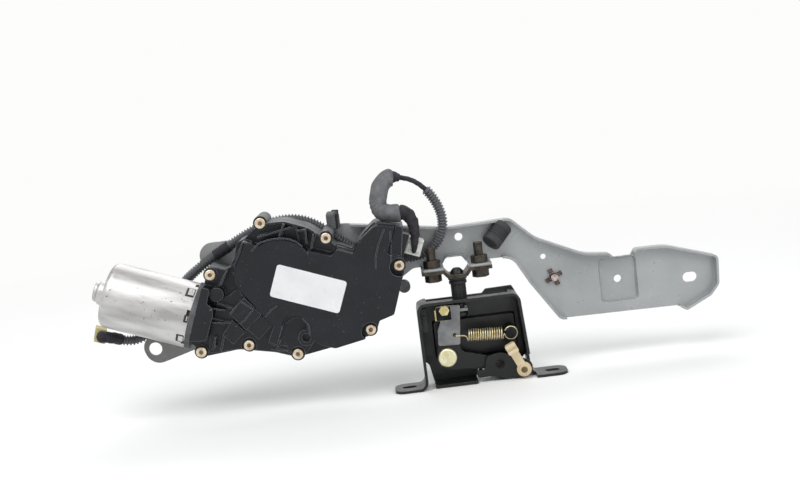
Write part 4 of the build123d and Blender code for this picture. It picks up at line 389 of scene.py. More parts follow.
MATERIALS = {
    "can_metal": metal("can_metal", "cfcecd", "a3a2a1", 0.4, 0.08, worn="e6e5e2", stretch=(4, 1, 1),
                       turned=MOTOR_TILT, scale=75, grime="5f5a54", grime_scale=420, grime_amount=0.69,
                       metallic=0.88),
    "magnet_ferrite": metal("magnet_ferrite", "3a3a3c", "29292b", 0.6),
    "shaft_steel": metal("shaft_steel", "c4c5c8", "9a9ba0", 0.25, stretch=(1, 8, 1)),
    "core_steel": metal("core_steel", "85868a", "5f6064", 0.4),
    "copper": metal("copper", "c9784a", "9a5431", 0.35),
    "bronze": metal("bronze", "b08a55", "8a683b", 0.45),
    "spring_steel": metal("spring_steel", "a9aaad", "7f8083", 0.3),
    "housing_alloy": metal("housing_alloy", "6a6b6d", "4f5052", 0.55, 0.12, worn="9a9a9a", grime="3f3e3b"),
    "zinc_gold": metal("zinc_gold", "d9cfae", "b3a478", 0.36, worn="f1ead2", scale=180),
    "zinc_grey": metal("zinc_grey", "a09c98", "6b6763", 0.42, worn="cfcfcc", scale=140),
    "zinc_brown": metal("zinc_brown", "4a443c", "2b2723", 0.4, worn="7d7366", scale=150, metallic=0.7),
    "hook_steel": metal("hook_steel", "8b8c8d", "6f7072", 0.42, 0.05, worn="b5b5b3", scale=90,
                        grime="45433f", grime_amount=0.7),
    "black_plastic": plastic("black_plastic", "17181a", "202124", 0.45, edge_wear_and_highlight="55565a"),
    # The cover's rims and ribs are lightened strongly along their edges: a painted highlight.
    "cover_plastic": plastic("cover_plastic", "0a0c11", "10131b", 0.3, 0.03, coat=0.08, dust="8a8c8e",
                             dust_amount=0.775, film=0.015, edge_wear_and_highlight="8c9098", edge_lightening=0.75, edge_width=0.6,
                             specular=0.3),
    "carbon": plastic("carbon", "232323", "2d2d2d", 0.7),
    "gear_plastic": plastic("gear_plastic", "ded9c9", "cfc9b6", 0.5),
    "board_green": plastic("board_green", "1c5a33", "16482a", 0.4),
    "rubber_black": plastic("rubber_black", "121213", "1a1a1b", 0.55, 0.08, edge_wear_and_highlight="48484a"),
    "rubber_grey": plastic("rubber_grey", "2c2d2f", "1f2022", 0.6, 0.1, dust="77787a", edge_wear_and_highlight="6a6b6d"),
    "cream_plastic": plastic("cream_plastic", "dccdab", "c8b48e", 0.45, 0.05, dust="8f8468",
                             zones=[(within(CLIP_EYE, CLIP_EYE_RADIUS), "7d6a3c", "4c4026")]),
    "white_plastic": plastic("white_plastic", "e2e3de", "cfd0ca", 0.38, 0.04, dust="8d8c84"),
    "conduit_plastic": plastic("conduit_plastic", "46474a", "545559", 0.38, 0.04, dust="8d8e92"),
    # The darker zone on the left tab is painted shade.
    "bracket_paint": paint("bracket_paint", "a4a7a8", "949798", 0.34, worn="d3d6d8",
                           zones=[(left_of(TAB_X, TAB_FADE), "747473", "636362")]),
    "latch_paint": paint("latch_paint", "101113", "17181a", 0.36, worn="5b5a58", chips=0.755, coat=0.05),
    "tape": cloth("tape", "26242a", "343238", 0.75, 1500, 0.1),
    "foam": cloth("foam", "707173", "5f6063", 0.85, 700, 0.25),
    "label_paper": plastic("label_paper", "e6e7e8", "d9dadc", 0.3, 0.02, dust="a9a79f", dust_amount=0.79,
                           coat=0.2),
}
# Nodes that look unlike the rest of their slot, or carry more than one finish.
NODE_FINISHES = {
    # The screws' heads are pale, with their sockets and sides painted dark brown as shade.
    "cover_screws": metal("screw_heads", "e0d6c2", "bba98c", 0.34, worn="f5efe2", scale=260, metallic=0.8,
                          zones=[(behind(SCREW_RECESS_DEPTH), "96755a", "5e4231")]),
    "body_plug": plastic("plug_yellow", "c6bd83", "ada365", 0.42, 0.05, dust="6f6640", edge_wear_and_highlight="e0d9ac"),
    "push_clip": metal("push_clip_steel", "cbb9b5", "8c7b76", 0.4, worn="f1e4e0", scale=300,
                       zones=[(behind(PUSH_CLIP_DEPTH), "6a615c", "3b3532")]),
    "latch_pins": metal("pin_heads", "eae5c8", "d2c99e", 0.34, worn="f6f2de", scale=160,
                        zones=[(right_of(PIN_SPLIT_X), "2a2a2c", "161617")]),
    "hook_stud": metal("stud_block", "e3d9b2", "b9a873", 0.32, worn="f3eccb", scale=160,
                       zones=[(behind(STUD_BLOCK_FRONT), "232325", "141415"),
                              (left_of(STUD_BLOCK_LEFT), "d8c98e", "a8945a")]),
}
for entry in frame["record"]["subparts"]:
    node = frame["nodes"].get(entry["node"])
    if node:
        node.data.materials.clear()
        node.data.materials.append(NODE_FINISHES.get(entry["node"], MATERIALS[entry["material_slot"]]))


# ============================================================================================
# Pieces
# ============================================================================================
def piece(name, verts, faces, slot, body="module", smooth=True):
    """A mesh piece that rides on a body and takes its finish from a material slot."""
    mesh = bpy.data.meshes.new(name)
    mesh.from_pydata([tuple(v) for v in verts], [], faces)
    mesh.validate()
    mesh.polygons.foreach_set("use_smooth", [smooth] * len(mesh.polygons))
    mesh.materials.append(MATERIALS[slot])
    obj = bpy.data.objects.new(name, mesh)
    bpy.context.scene.collection.objects.link(obj)
    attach(obj, body)
    return obj


def nurbs_mesh(name, controls, resolution, radius=0.0):
    """The smooth NURBS line of some control points as a mesh: a bare line, or a round wire."""
    curve = bpy.data.curves.new(name, "CURVE")
    curve.dimensions = "3D"
    curve.resolution_u = resolution
    curve.bevel_depth = radius
    curve.bevel_resolution = 3
    spline = curve.splines.new("NURBS")
    spline.points.add(len(controls) - 1)
    for target, place in zip(spline.points, controls):
        target.co = (*place, 1)
    spline.order_u = 3
    spline.use_endpoint_u = True
    holder = bpy.data.objects.new(name, curve)
    mesh = bpy.data.meshes.new_from_object(holder)
    bpy.data.objects.remove(holder)
    bpy.data.curves.remove(curve)
    return mesh


def spline_points(route):
    """Points along the smooth line of a route's control points."""
    mesh = nurbs_mesh("route", route, resolution=24)
    places = [v.co.copy() for v in mesh.vertices]
    bpy.data.meshes.remove(mesh)
    return places


SHORTEST_STEP = 0.2             # share of a step below which a line's last bit is left off


def stepped(places, step):
    """The same line with points an even step apart, and each one's distance from the start."""
    out = [(0.0, places[0])]
    walked = 0.0
    target = step
    for a, b in zip(places, places[1:]):
        run = (b - a).length
        while run and walked + run >= target:
            out.append((target, a.lerp(b, (target - walked) / run)))
            target += step
        walked += run
    if walked - out[-1][0] > step * SHORTEST_STEP:
        out.append((walked, places[-1]))
    return out


def ring_faces(rings, segments):
    """Faces between rings of places that follow one another, closed at both ends."""
    faces = []
    for ring in range(0, (rings - 1) * segments, segments):
        for j in range(segments):
            k = (j + 1) % segments
            faces.append((ring + j, ring + k, ring + segments + k, ring + segments + j))
    last = (rings - 1) * segments
    faces.append(tuple(range(segments))[::-1])
    faces.append(tuple(range(last, last + segments)))
    return faces


def tube(name, route, step, segments, radius_at, slot, body="module", where=None):
    """A tube along a route, or only where a test of the place holds.

    radius_at(distance, angle, total) gives its radius at each place.
    """
    stations = stepped(spline_points(route), step)
    if where:
        stations = [(distance, place) for distance, place in stations if where(place)]
        start = stations[0][0]
        stations = [(distance - start, place) for distance, place in stations]
    total = stations[-1][0]
    centres = [place for _, place in stations]
    verts = []
    side = None
    for i, (distance, centre) in enumerate(stations):
        heading = (centres[min(i + 1, len(centres) - 1)] - centres[max(i - 1, 0)]).normalized()
        if side is None:
            side = heading.orthogonal()
        side = (side - heading * side.dot(heading)).normalized()
        other = heading.cross(side)
        for j in range(segments):
            angle = 2 * pi * j / segments
            radius = radius_at(distance, angle, total)
            verts.append(centre + (side * cos(angle) + other * sin(angle)) * radius)
    return piece(name, verts, ring_faces(len(stations), segments), slot, body)


def rounded_outline(width, height, corner, steps=6):
    """Corners of a rounded rectangle about its middle."""
    out = []
    for cx, cy, start in ((1, 1, 0), (-1, 1, 90), (-1, -1, 180), (1, -1, 270)):
        for i in range(steps + 1):
            angle = radians(start + 90 * i / steps)
            out.append((cx * (width / 2 - corner) + corner * cos(angle),
                        cy * (height / 2 - corner) + corner * sin(angle)))
    return out


def tilted_plate(name, middle, size, corner, depth, gauge, slot):
    """A thin rounded plate lying on a face of the gearmotor, with its middle in (p, q), all in mm."""
    outline = rounded_outline(*size, corner)
    count = len(outline)
    verts = [tilted(middle[0] + a, depth, middle[1] + b) for a, b in outline]
    verts += [tilted(middle[0] + a, depth + gauge, middle[1] + b) for a, b in outline]
    faces = [tuple(range(count, 2 * count))]
    faces += [(i, (i + 1) % count, count + (i + 1) % count, count + i) for i in range(count)]
    return piece(name, verts, faces, slot, smooth=False)


# Unevenness of soft tubes: how fine it is along them (to the metre) and round them, and its height in mm.
PLUG_LEAD_LUMPS = (260, 1.3, 1.0)
FOAM_TAPE_LUMPS = (500, 1.6, 0.5)
FOAM_LUMPS = (160, 1.4, 0.6)


def lump(distance, angle, along, around, height):
    """What unevenness adds to a tube's radius at a place."""
    return noise.noise(Vector((distance * along, cos(angle) * around, sin(angle) * around))) * height * MM


# Corrugated conduit, from the taped end to the bare lead.
CONDUIT_ROUTE = [sleeve_end] + LEAD[1:19] + [conduit_end]
RING_PITCH = 2.7 * MM
RING_HEIGHT = 1.25 * MM
RING_CREST, RING_FLANK = 1.9, 6.4   # full height to 0.14 of a pitch from a ring's middle, none past 0.30


def ring_radius(distance, angle, total):
    phase = (distance / RING_PITCH) % 1
    rise = min(1, max(0, RING_CREST - abs(phase - 0.5) * RING_FLANK))
    return CONDUIT_RADIUS - RING_HEIGHT * (1 - rise)


conduit = tube("conduit_ribbed", CONDUIT_ROUTE, RING_PITCH / 8, 24, ring_radius, "conduit_plastic")
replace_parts(conduit, "harness_conduit")


def wrapped_radius(base, lap, relief):
    """Radius of a stretch wound with tape: each lap starts with a small step and drifts round."""
    def radius_at(distance, angle, total):
        turn = (distance / lap - angle / (2 * pi)) % 1
        return base - relief * turn
    return radius_at


# Taped end at the loose plug.
SLEEVE_FRONT = [point(-172.5, 48.5, -39.8), point(-163.0, 47.5, -41.8), point(-155.0, 41.5, -45.5)]
WIDE_LAP, SLEEVE_RELIEF = 7 * MM, 0.5 * MM
DOME_LENGTH = 4 * MM
DOME_TIP = 0.02                 # square of the share of the radius left at the dome's tip
TAPE_STEP = 0.4 * MM            # between a taped tube's rings
LEAD_STEP = 0.5 * MM


def sleeve_radius(distance, angle, total):
    """Tape wound over the wires, closed to a dome in front of the plug."""
    dome = sqrt(max(DOME_TIP, 1 - max(0, 1 - distance / DOME_LENGTH) ** 2))
    return wrapped_radius(SLEEVE_RADIUS, WIDE_LAP, SLEEVE_RELIEF)(distance, angle, total) * dome


sleeve = tube("sleeve_taped", SLEEVE_FRONT + [sleeve_end], TAPE_STEP, 36, sleeve_radius, "tape")
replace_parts(sleeve, "harness_sleeve")

# Taped lead between the conduit and the foam, and from the foam to the motor's plug.
LEAD_LAP = 6 * MM
LEAD_RELIEF, PLUG_LEAD_RELIEF = 0.3 * MM, 0.5 * MM
PLUG_LEAD_WIDE, PLUG_LEAD_NARROW = 6.6 * MM, 2.2 * MM
PLUG_LEAD_TAPER = 1.2
PLUG_LEAD_ROUTE = [foam_end] + LEAD[25:]
bare_lead = tube("lead_taped", [conduit_end] + LEAD[19:21] + [foam_start], LEAD_STEP, 24,
                 wrapped_radius(CABLE_RADIUS, LEAD_LAP, LEAD_RELIEF), "tape")
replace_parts(bare_lead, "harness_cable")


def plug_lead_radius(distance, angle, total):
    """Loose laps of tape, wide at the foam and down to the wires at the plug."""
    thick = PLUG_LEAD_WIDE + (PLUG_LEAD_NARROW - PLUG_LEAD_WIDE) * (distance / total) ** PLUG_LEAD_TAPER
    wound = wrapped_radius(thick, LEAD_LAP, PLUG_LEAD_RELIEF)(distance, angle, total)
    return wound + lump(distance, angle, *PLUG_LEAD_LUMPS) * (1 - distance / total)


plug_lead = tube("plug_lead_taped", PLUG_LEAD_ROUTE, LEAD_STEP, 28, plug_lead_radius, "tape")
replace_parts(plug_lead, "harness_cable")

# Tape round the conduit near the housing, and round both ends of the foam.
WRAP_LEFT, WRAP_RIGHT = -61 * MM, -47 * MM
WRAP_GAUGE = 0.4 * MM
FOAM_TAPE_LENGTH = 6.5 * MM
FOAM_TAPE_TAPER = 1.3
tube("conduit_wrap", CONDUIT_ROUTE, TAPE_STEP, 36,
     wrapped_radius(CONDUIT_RADIUS + WRAP_GAUGE, WIDE_LAP, WRAP_GAUGE), "tape",
     where=lambda place: WRAP_LEFT < place.x < WRAP_RIGHT)


def tapered_tape(thick, thin):
    """Radius of a few turns of tape that run down from the foam to the lead."""
    def radius_at(distance, angle, total):
        taper = min(1, distance / total) ** FOAM_TAPE_TAPER
        return thick + (thin - thick) * taper + lump(distance, angle, *FOAM_TAPE_LUMPS)
    return radius_at


for name, route, thick, thin in (
        ("foam_tape_upper", [foam_start] + LEAD[20:18:-1] + [conduit_end], 5.4 * MM, 3.0 * MM),
        ("foam_tape_lower", PLUG_LEAD_ROUTE, 6.6 * MM, 4.2 * MM)):
    tube(name, route, TAPE_STEP, 32, tapered_tape(thick, thin), "tape",
         where=lambda place: (place - route[0]).length < FOAM_TAPE_LENGTH)

# Foam wrap, folded round in its bend.
FOAM_BEND, FOAM_BEND_REACH = 0.58, 0.16     # shares of its length: the middle of the bend and half the bend
FOAM_END_ROUND, FOAM_END_LENGTH = 2.2 * MM, 2.5 * MM
CREASE_DEPTH, CREASE_PITCH = 0.75 * MM, 2.6 * MM


def foam_radius(distance, angle, total):
    """Soft foam, drawn in at both ends, creased round its bend and a little lumpy all over."""
    end = min(distance, total - distance)
    rounded = FOAM_END_ROUND * max(0, 1 - end / FOAM_END_LENGTH) ** 2
    bend = max(0, 1 - abs(distance / total - FOAM_BEND) / FOAM_BEND_REACH)
    crease = CREASE_DEPTH * bend * (0.5 + 0.5 * sin(distance / CREASE_PITCH * 2 * pi + 2 * cos(angle)))
    return FOAM_RADIUS - rounded - crease + lump(distance, angle, *FOAM_LUMPS)


FOAM_STEP = 0.8 * MM
foam = tube("foam_wrap", [foam_start] + LEAD[21:25] + [foam_end], FOAM_STEP, 40, foam_radius, "foam")
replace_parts(foam, "foam_sleeve")


def turned_piece(name, start, axis, profile, slot, segments=40, floor_depth=None):
    """A turned piece along an axis from a start: the profile gives distances along it and radii, in mm.

    Nothing of it lies behind floor_depth, where it is squeezed flat against what carries it.
    """
    axis = axis.normalized()
    side = axis.orthogonal().normalized()
    other = axis.cross(side)
    verts = []
    for distance, radius in profile:
        for j in range(segments):
            angle = 2 * pi * j / segments
            place = start + axis * distance * MM + (side * cos(angle) + other * sin(angle)) * radius * MM
            if floor_depth is not None:
                place.y = min(place.y, -floor_depth * MM)
            verts.append(place)
    return piece(name, verts, ring_faces(len(profile), segments), slot)


# Stepped cap over the motor's rear bearing, on the end of the can.
MOTOR_SHAFT_Q = -58.0           # where the motor's shaft lies, across the tilt and in depth
MOTOR_DEPTH = 58.0
CAN_END_P = -151.0
CAP_PROFILE = [(-1.0, 9.0), (1.6, 9.0), (2.4, 8.7), (3.0, 7.8), (3.1, 5.5), (2.7, 5.0), (2.7, 0.5)]
turned_piece("bearing_cap", tilted(CAN_END_P, MOTOR_DEPTH, MOTOR_SHAFT_Q), tilted(-1, 0, 0), CAP_PROFILE,
             "can_metal")


def can_patch(name, from_p, to_p, from_angle, to_angle, inner, outer, slot):
    """A piece that follows the can: angles in degrees from the cover side, up about the motor's shaft."""
    verts = []
    steps = 10
    for radius in (inner, outer):
        for along in (from_p, to_p):
            for i in range(steps + 1):
                angle = radians(from_angle + (to_angle - from_angle) * i / steps)
                depth = MOTOR_DEPTH + radius * cos(angle)
                verts.append(tilted(along, depth, MOTOR_SHAFT_Q + radius * sin(angle)))
    row = steps + 1
    faces = []
    for i in range(steps):
        faces += [(i, i + 1, row + i + 1, row + i),
                  (2 * row + i, 3 * row + i, 3 * row + i + 1, 2 * row + i + 1),
                  (i, 2 * row + i, 2 * row + i + 1, i + 1),
                  (row + i, row + i + 1, 3 * row + i + 1, 3 * row + i)]
    faces += [(0, row, 3 * row, 2 * row), (steps, 2 * row + steps, 3 * row + steps, row + steps)]
    return piece(name, verts, faces, slot, smooth=False)


# Clinched tabs round the can's mouth, each bent out of a slot that is drawn as a black patch of painted
# shade: from p, to p, and angles.
CAN_TABS = [(-74.5, -67.0, 43, 62), (-70.0, -66.4, -2, 11), (-73.5, -66.8, -45, -27)]
CAN_RADIUS = 29.0
ROOTED = CAN_RADIUS - 0.3       # radius down to which the tabs and slots go
SLOT_RADIUS, TAB_RADIUS = CAN_RADIUS + 0.12, CAN_RADIUS + 0.7
TAB_INSETS = (2.0, -0.6, 3.5, -2.5)     # from a slot's sides to its tab's
for number, slot_sides in enumerate(CAN_TABS):
    tab_sides = [side + inset for side, inset in zip(slot_sides, TAB_INSETS)]
    # Each slot is a black patch laid on the can: painted shade in the opening.
    can_patch(f"can_slot_{number}", *slot_sides, ROOTED, SLOT_RADIUS, "black_plastic")
    can_patch(f"can_tab_{number}", *tab_sides, ROOTED, TAB_RADIUS, "can_metal")

# Ribs and rims moulded on the cover: the depth of their tops, or None for a low rib that only stands
# on the face under it, and places in X and Z.
COVER_RIBS = {
    "plateau": (84.7, [(-21.0, 23.5), (-17.3, 26.7), (-12.7, 29.6), (-6.1, 31.1), (0.4, 31.6), (7.8, 30.9),
                       (12.9, 29.4), (17.9, 26.6), (22.2, 22.2)]),
    "band": (81.5, [(-14.6, 34.0), (2.9, 37.2), (14.0, 39.3)]),
    "spoke_a": (82.0, [(9.3, 42.6), (3.3, 31.8)]),
    "spoke_b": (82.0, [(32.6, 31.0), (30.0, 19.5)]),
    "pocket": (82.5, [(19.8, 35.8), (26.7, 35.8), (26.3, 24.0)]),
    "shoulder": (84.5, [(-19.9, 29.9), (-27.4, 31.7), (-31.7, 22.1), (-37.4, 12.6)]),
    "short": (82.0, [(-44.3, 8.9), (-50.9, -2.3)]),
    "rung_a": (82.0, [(-62.8, -21.5), (-50.9, -24.6)]),
    "rung_b": (82.0, [(-62.8, -33.8), (-52.5, -35.8)]),
    "rung_c": (80.0, [(-62.7, -46.9), (-64.0, -56.0)]),
    "frame": (None, [(-46.6, -28.7), (-36.5, -18.0), (-26.5, -26.4), (-34.5, -34.6), (-43.9, -40.0)]),
    "tray": (None, [(-16.1, -60.3), (-2.8, -63.7), (-3.0, -67.7), (-16.7, -64.7)]),
    "step": (None, [(-17.3, -34.6), (-11.1, -28.8), (-5.8, -25.9)]),
    "bay": (None, [(-1.3, -43.2), (5.7, -39.6), (14.3, -39.6), (18.9, -45.7), (18.8, -54.5)]),
    "edge": (None, [(27.9, 18.8), (45.4, 11.9), (51.5, 19.3), (63.6, 13.5), (67.7, 18.2), (77.4, 27.4),
                    (85.5, 34.0)]),
    "crease_a": (None, [(92.9, 28.3), (86.2, 15.3), (82.7, 4.5), (82.0, -4.1)]),
    "crease_b": (None, [(97.8, 26.0), (96.8, 11.4), (95.4, -0.5)]),
}
RIB_WIDTH = 1.3
RIB_RISE = 0.8                  # least height over the face
RIB_FLUSH = 0.3                 # height where the face already stands above the rib's own top
RIB_ROOT = 0.8                  # how far a rib goes into the cover
COVER_EDGE_DEPTH = 72.0         # depth taken beside the cover, where no face lies under a rib
CLEAR_OF_COVER = 200            # a depth in front of everything
cover_mesh = frame["nodes"]["gear_cover"].data
cover_tree = BVHTree.FromPolygons([v.co[:] for v in cover_mesh.vertices],
                                  [f.vertices[:] for f in cover_mesh.polygons])


def cover_depth(x, z):
    """Depth of the cover's face at a place, in mm."""
    hit = cover_tree.ray_cast(point(x, CLEAR_OF_COVER, z), Vector((0, 1, 0)))[0]
    return COVER_EDGE_DEPTH if hit is None else -hit.y / MM


def cover_rib(name, top, places):
    """A rib that stands on the cover along a line, up to one depth or a little over the face."""
    dense = []
    for (ax, az), (bx, bz) in zip(places, places[1:]):
        count = max(2, int(sqrt((bx - ax) ** 2 + (bz - az) ** 2)))      # about one place to the millimetre
        dense += [(ax + (bx - ax) * i / count, az + (bz - az) * i / count) for i in range(count)]
    dense.append(places[-1])
    verts = []
    faces = []
    for i, (x, z) in enumerate(dense):
        before = dense[max(i - 1, 0)]
        after = dense[min(i + 1, len(dense) - 1)]
        heading = Vector((after[0] - before[0], 0, after[1] - before[1])).normalized()
        across = Vector((heading.z, 0, -heading.x)) * RIB_WIDTH / 2 * MM
        depth = cover_depth(x, z)
        if top is None:
            front = depth + RIB_RISE
        elif depth < top:
            front = max(top, depth + RIB_RISE)
        else:
            front = depth + RIB_FLUSH
        root = depth - RIB_ROOT
        for side, level in ((-1, root), (-1, front), (1, front), (1, root)):
            verts.append(point(x, level, z) + across * side)
    for i in range(len(dense) - 1):
        a, b = 4 * i, 4 * i + 4
        faces += [(a + j, a + (j + 1) % 4, b + (j + 1) % 4, b + j) for j in range(4)]
    last = 4 * (len(dense) - 1)
    faces += [(0, 3, 2, 1), (last, last + 1, last + 2, last + 3)]
    return piece(f"cover_rib_{name}", verts, faces, "cover_plastic", smooth=False)


for name, (top, places) in COVER_RIBS.items():
    cover_rib(name, top, places)

# Latch and ridges of the plug in the housing's socket: middle, size, corner and gauge.
PLUG_P, PLUG_Q, PLUG_FRONT = 106.2, 49.0, 58.0
for name, middle, size, corner, gauge in (
        ("plug_latch", (PLUG_P + 4.3, PLUG_Q + 2.5), (3.6, 12.0), 0.8, 2.4),
        ("plug_hook", (PLUG_P + 4.3, PLUG_Q + 7.0), (5.2, 2.2), 0.5, 3.4),
        ("plug_ridge_a", (PLUG_P - 5.6, PLUG_Q), (1.2, 13.0), 0.4, 0.9),
        ("plug_ridge_b", (PLUG_P - 3.0, PLUG_Q), (0.9, 13.0), 0.3, 0.7),
        ("plug_rim", (PLUG_P - 0.5, PLUG_Q - 6.6), (13.0, 1.4), 0.4, 1.0)):
    tilted_plate(name, middle, size, corner, PLUG_FRONT, gauge, "white_plastic")

# The loose plug at the lead's end, drawn a little smaller than the solid that stands for it.
plug_mesh = frame["nodes"]["body_plug"].data.copy()
PLUG_ANCHOR = point(-163.5, 38.0, -40.5)
PLUG_SHARES = Vector((0.72, 0.5, 0.82))     # of the solid's size along X, Y and Z
for vertex in plug_mesh.vertices:
    vertex.co = PLUG_ANCHOR + (vertex.co - PLUG_ANCHOR) * PLUG_SHARES
plug_mesh.materials.clear()
plug_mesh.materials.append(NODE_FINISHES["body_plug"])
loose_plug = bpy.data.objects.new("loose_plug", plug_mesh)
bpy.context.scene.collection.objects.link(loose_plug)
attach(loose_plug, "module")
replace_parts(loose_plug, "body_plug")

# Rubber bumper that leans out of the bracket, with grooves round its middle.
BUMPER_FOOT = point(199.0, 29.0, 12.0)
BUMPER_TIP = point(184.5, 38.0, -2.0)
BUMPER_RADIUS = 8.8
GROOVE_FROM, GROOVE_PITCH, GROOVES = 6.0, 2.4, 4
GROOVE_DEPTH = 0.9
BRACKET_FACE = 26.05            # depth of the face it stands on
bumper_profile = [(0.0, BUMPER_RADIUS - 0.6), (1.0, BUMPER_RADIUS)]
for groove in range(GROOVES):
    low = GROOVE_FROM + GROOVE_PITCH * groove
    bumper_profile += [(low, BUMPER_RADIUS), (low + 0.4, BUMPER_RADIUS - GROOVE_DEPTH),
                       (low + 1.2, BUMPER_RADIUS - GROOVE_DEPTH), (low + 1.6, BUMPER_RADIUS)]
bumper_end = (BUMPER_TIP - BUMPER_FOOT).length / MM
bumper_profile += [(bumper_end - 2.0, BUMPER_RADIUS), (bumper_end - 0.6, BUMPER_RADIUS - 0.6),
                   (bumper_end, BUMPER_RADIUS - 2.0), (bumper_end, 0.5)]
bumper = turned_piece("bumper_ribbed", BUMPER_FOOT, BUMPER_TIP - BUMPER_FOOT, bumper_profile, "rubber_grey",
                      floor_depth=BRACKET_FACE)
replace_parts(bumper, "rubber_bumper")

# Folded tail of the clip that holds the conduit: a band bent over into a narrow loop.
TAIL_CORNER = point(48.6, 37.0, 28.5)
TAIL_ACROSS = Vector((0.64, 0.77, 0))       # along the loop's width, to the right and back
TAIL_ALONG = Vector((-0.77, 0.64, 0))       # along the band's width, to the left and back
TAIL_WIDTH = 8.4
TAIL_HEIGHT = 15.3
TAIL_BAND = 2.6                 # gauge of the band
TAIL_DEEP = 8.5                 # width of the band
TAIL_STEPS = 14                 # round the loop's top
CLIP_RUBBER = plastic("clip_rubber", "66676a", "57585b", 0.6, 0.1, dust="8a8b8d", edge_wear_and_highlight="8e8f91")


def folded_tail():
    """The band, along places on the loop's outside that each know the way out of it."""
    radius = TAIL_WIDTH / 2
    path = [(0.0, 0.0, -1, 0)]
    path += [(radius - radius * cos(a), TAIL_HEIGHT - radius + radius * sin(a), -cos(a), sin(a))
             for a in (pi * i / TAIL_STEPS for i in range(TAIL_STEPS + 1))]
    path.append((TAIL_WIDTH, 0.0, 1, 0))
    verts = []
    for across, height, out_across, out_up in path:
        for inward in (0, TAIL_BAND):
            for along in (0, TAIL_DEEP):
                verts.append(TAIL_CORNER + TAIL_ACROSS * (across - out_across * inward) * MM
                             + Vector((0, 0, height - out_up * inward)) * MM + TAIL_ALONG * along * MM)
    faces = []
    for i in range(len(path) - 1):
        a, b = 4 * i, 4 * i + 4
        faces += [(a, b, b + 1, a + 1), (a + 2, a + 3, b + 3, b + 2), (a, a + 2, b + 2, b),
                  (a + 1, b + 1, b + 3, a + 3)]
    last = 4 * (len(path) - 1)
    faces += [(0, 1, 3, 2), (last, last + 2, last + 3, last + 1)]
    tail = piece("clip_tail", verts, faces, "rubber_grey", smooth=False)
    tail.data.materials[0] = CLIP_RUBBER


folded_tail()

# Blank rating label on the cover's plateau.
LABEL_MIDDLE = (26.4, -5.3)
LABEL_SIZE = (61.2, 28.6)
LABEL_CORNER = 2.5
PLATEAU_DEPTH = 84.0
LABEL_GAUGE = 0.12
tilted_plate("rating_label", LABEL_MIDDLE, LABEL_SIZE, LABEL_CORNER, PLATEAU_DEPTH, LABEL_GAUGE,
             "label_paper")

# Return spring of the hook: a close coil, with a straight end to the hook and a ring on its anchor.
SPRING_HOLE = point(142.8, 64.5, -75.4)
SPRING_ANCHOR = point(192.0, 64.5, -78.2)
SPRING_RADIUS = 5.0 * MM
SPRING_WIRE = 0.65 * MM
SPRING_TURNS, TURN_STEPS = 15, 16
SPRING_LEAD_IN = 11.6 * MM      # straight wire between the hook's hole and the coil
RING_RADIUS, RING_STEPS = 5.6 * MM, 18
RING_NECK = 1.5 * MM            # between the coil and the ring
THROUGH_HOOK = 6.5 * MM         # wire that reaches back through the hook's plate
STRAIGHT_FROM, STRAIGHT_TO = 4 * MM, 2.5 * MM   # its straight run, from the hole and short of the coil


def wire_piece(name, line, radius, slot):
    """A round wire along the smooth line of its control points."""
    mesh = nurbs_mesh(name, line, resolution=12, radius=radius)
    mesh.polygons.foreach_set("use_smooth", [True] * len(mesh.polygons))
    mesh.materials.clear()
    mesh.materials.append(MATERIALS[slot])
    obj = bpy.data.objects.new(name, mesh)
    bpy.context.scene.collection.objects.link(obj)
    return obj


def coil_spring():
    """One wire: the coil and its ring by the frame's anchor, and the straight end through the hook's hole.
    """
    pull = (SPRING_ANCHOR - SPRING_HOLE).normalized()
    across = Vector((0, -1, 0))
    other = pull.cross(across)
    start = SPRING_HOLE + pull * SPRING_LEAD_IN
    end = SPRING_ANCHOR - pull * (RING_RADIUS + RING_NECK)
    line = [SPRING_HOLE + Vector((0, THROUGH_HOOK, 0)), SPRING_HOLE, SPRING_HOLE + pull * STRAIGHT_FROM,
            start - pull * STRAIGHT_TO, start - pull * 0.5 * MM + other * SPRING_RADIUS * 0.5]
    steps = SPRING_TURNS * TURN_STEPS
    for i in range(steps + 1):
        angle = 2 * pi * SPRING_TURNS * i / steps
        offset = (across * sin(angle) + other * cos(angle)) * SPRING_RADIUS
        line.append(start.lerp(end, i / steps) + offset)
    line.append(end + other * SPRING_RADIUS * 0.5)
    for i in range(RING_STEPS):
        angle = pi - 2 * pi * i / RING_STEPS
        line.append(SPRING_ANCHOR + (pull * cos(angle) + other * sin(angle)) * RING_RADIUS)
    spring = wire_piece("return_spring", line, SPRING_WIRE, "zinc_gold")
    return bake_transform(spring)


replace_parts(coil_spring(), "hook_spring")

# ============================================================================================
# Floor and light
# ============================================================================================
WHITE = linear("fdfdfc")
FLOOR_REACH = 8.0               # metres each way
FADE_MIDDLE = (0.1, -0.1)       # the floor turns into the white surroundings from here outwards
FADE_FROM, FADE_TO = 0.3, 1.4   # over these distances
floor_z = cad_box[0][2]
corners = [(x * FLOOR_REACH, y * FLOOR_REACH, floor_z) for x, y in ((-1, -1), (1, -1), (1, 1), (-1, 1))]
floor_mesh = bpy.data.meshes.new("floor")
floor_mesh.from_pydata(corners, [], [(0, 1, 2, 3)])
floor_shader = Shader("floor", specular=0.0)
floor_clouds = floor_shader.ranged(floor_shader.noise(3, 3), *WIDE)
floor_tone = floor_shader.blend(floor_clouds, linear("f9f9f8"), linear("f6f6f5"))
far_away = floor_shader.ranged(floor_shader.away_from((*FADE_MIDDLE, floor_z)), FADE_FROM, FADE_TO)
floor_tone = floor_shader.blend(far_away, floor_tone, linear("000000"))
floor_shader.bsdf.inputs["Emission Color"].default_value = WHITE
floor_shader.links.new(far_away, floor_shader.bsdf.inputs["Emission Strength"])
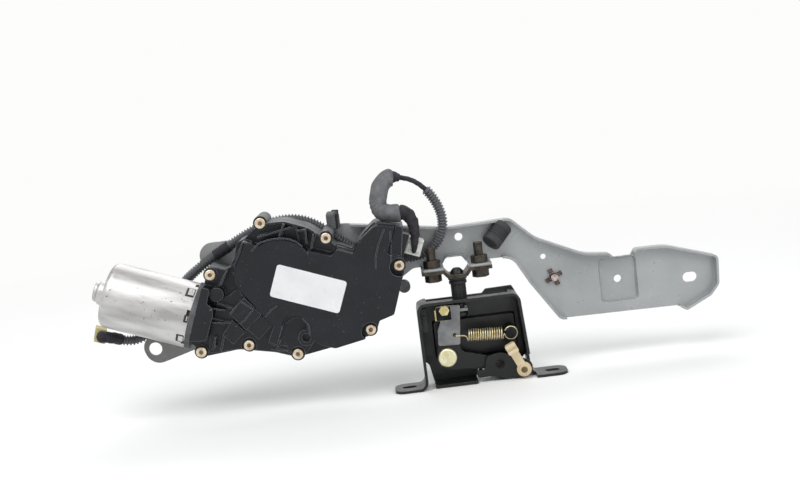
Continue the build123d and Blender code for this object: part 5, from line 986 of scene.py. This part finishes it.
floor_roughness = floor_shader.ranged(floor_shader.noise(30), 0, 1, 0.6, 0.7)
floor_mesh.materials.append(floor_shader.finish(floor_tone, floor_roughness))
floor = bpy.data.objects.new("floor", floor_mesh)
bpy.context.scene.collection.objects.link(floor)

LAMP_TARGET = Vector((0.1, 0, 0))


def lamp(name, place, size, power):
    """A rectangular lamp turned to the object, with its place and size in metres and its power in watts."""
    light = bpy.data.lights.new(name, "AREA")
    light.shape = "RECTANGLE"
    light.size, light.size_y = size
    light.energy = power
    obj = bpy.data.objects.new(name, light)
    obj.location = place
    obj.rotation_euler = (LAMP_TARGET - Vector(place)).to_track_quat("-Z", "Y").to_euler()
    bpy.context.scene.collection.objects.link(obj)


lamp("key", (-0.5, -0.9, 1.6), (1.6, 1.2), 22)
lamp("fill", (1.3, -1.2, 0.9), (1.2, 1.2), 9)
lamp("back", (0.2, 1.4, 1.5), (2.0, 0.8), 12)

# A soft grey light from all round, which is seen as white by the camera and in reflections.
AMBIENT_STRENGTH = 0.6
world = bpy.data.worlds.new("world")
world.use_nodes = True
nodes, links = world.node_tree.nodes, world.node_tree.links
ambient = nodes["Background"]
ambient.inputs["Color"].default_value = linear("e8eaec")
ambient.inputs["Strength"].default_value = AMBIENT_STRENGTH
white = nodes.new("ShaderNodeBackground")
white.inputs["Color"].default_value = WHITE
ray = nodes.new("ShaderNodeLightPath")
seen = ray.outputs["Is Camera Ray"]
for kind in ("Is Glossy Ray", "Is Transmission Ray"):
    larger = nodes.new("ShaderNodeMath")
    larger.operation = "MAXIMUM"
    links.new(seen, larger.inputs[0])
    links.new(ray.outputs[kind], larger.inputs[1])
    seen = larger.outputs["Value"]
either = nodes.new("ShaderNodeMixShader")
links.new(seen, either.inputs["Fac"])
links.new(ambient.outputs["Background"], either.inputs[1])
links.new(white.outputs["Background"], either.inputs[2])
links.new(either.outputs["Shader"], nodes["World Output"].inputs["Surface"])
bpy.context.scene.world = world
bpy.context.scene.view_settings.view_transform = "Standard"
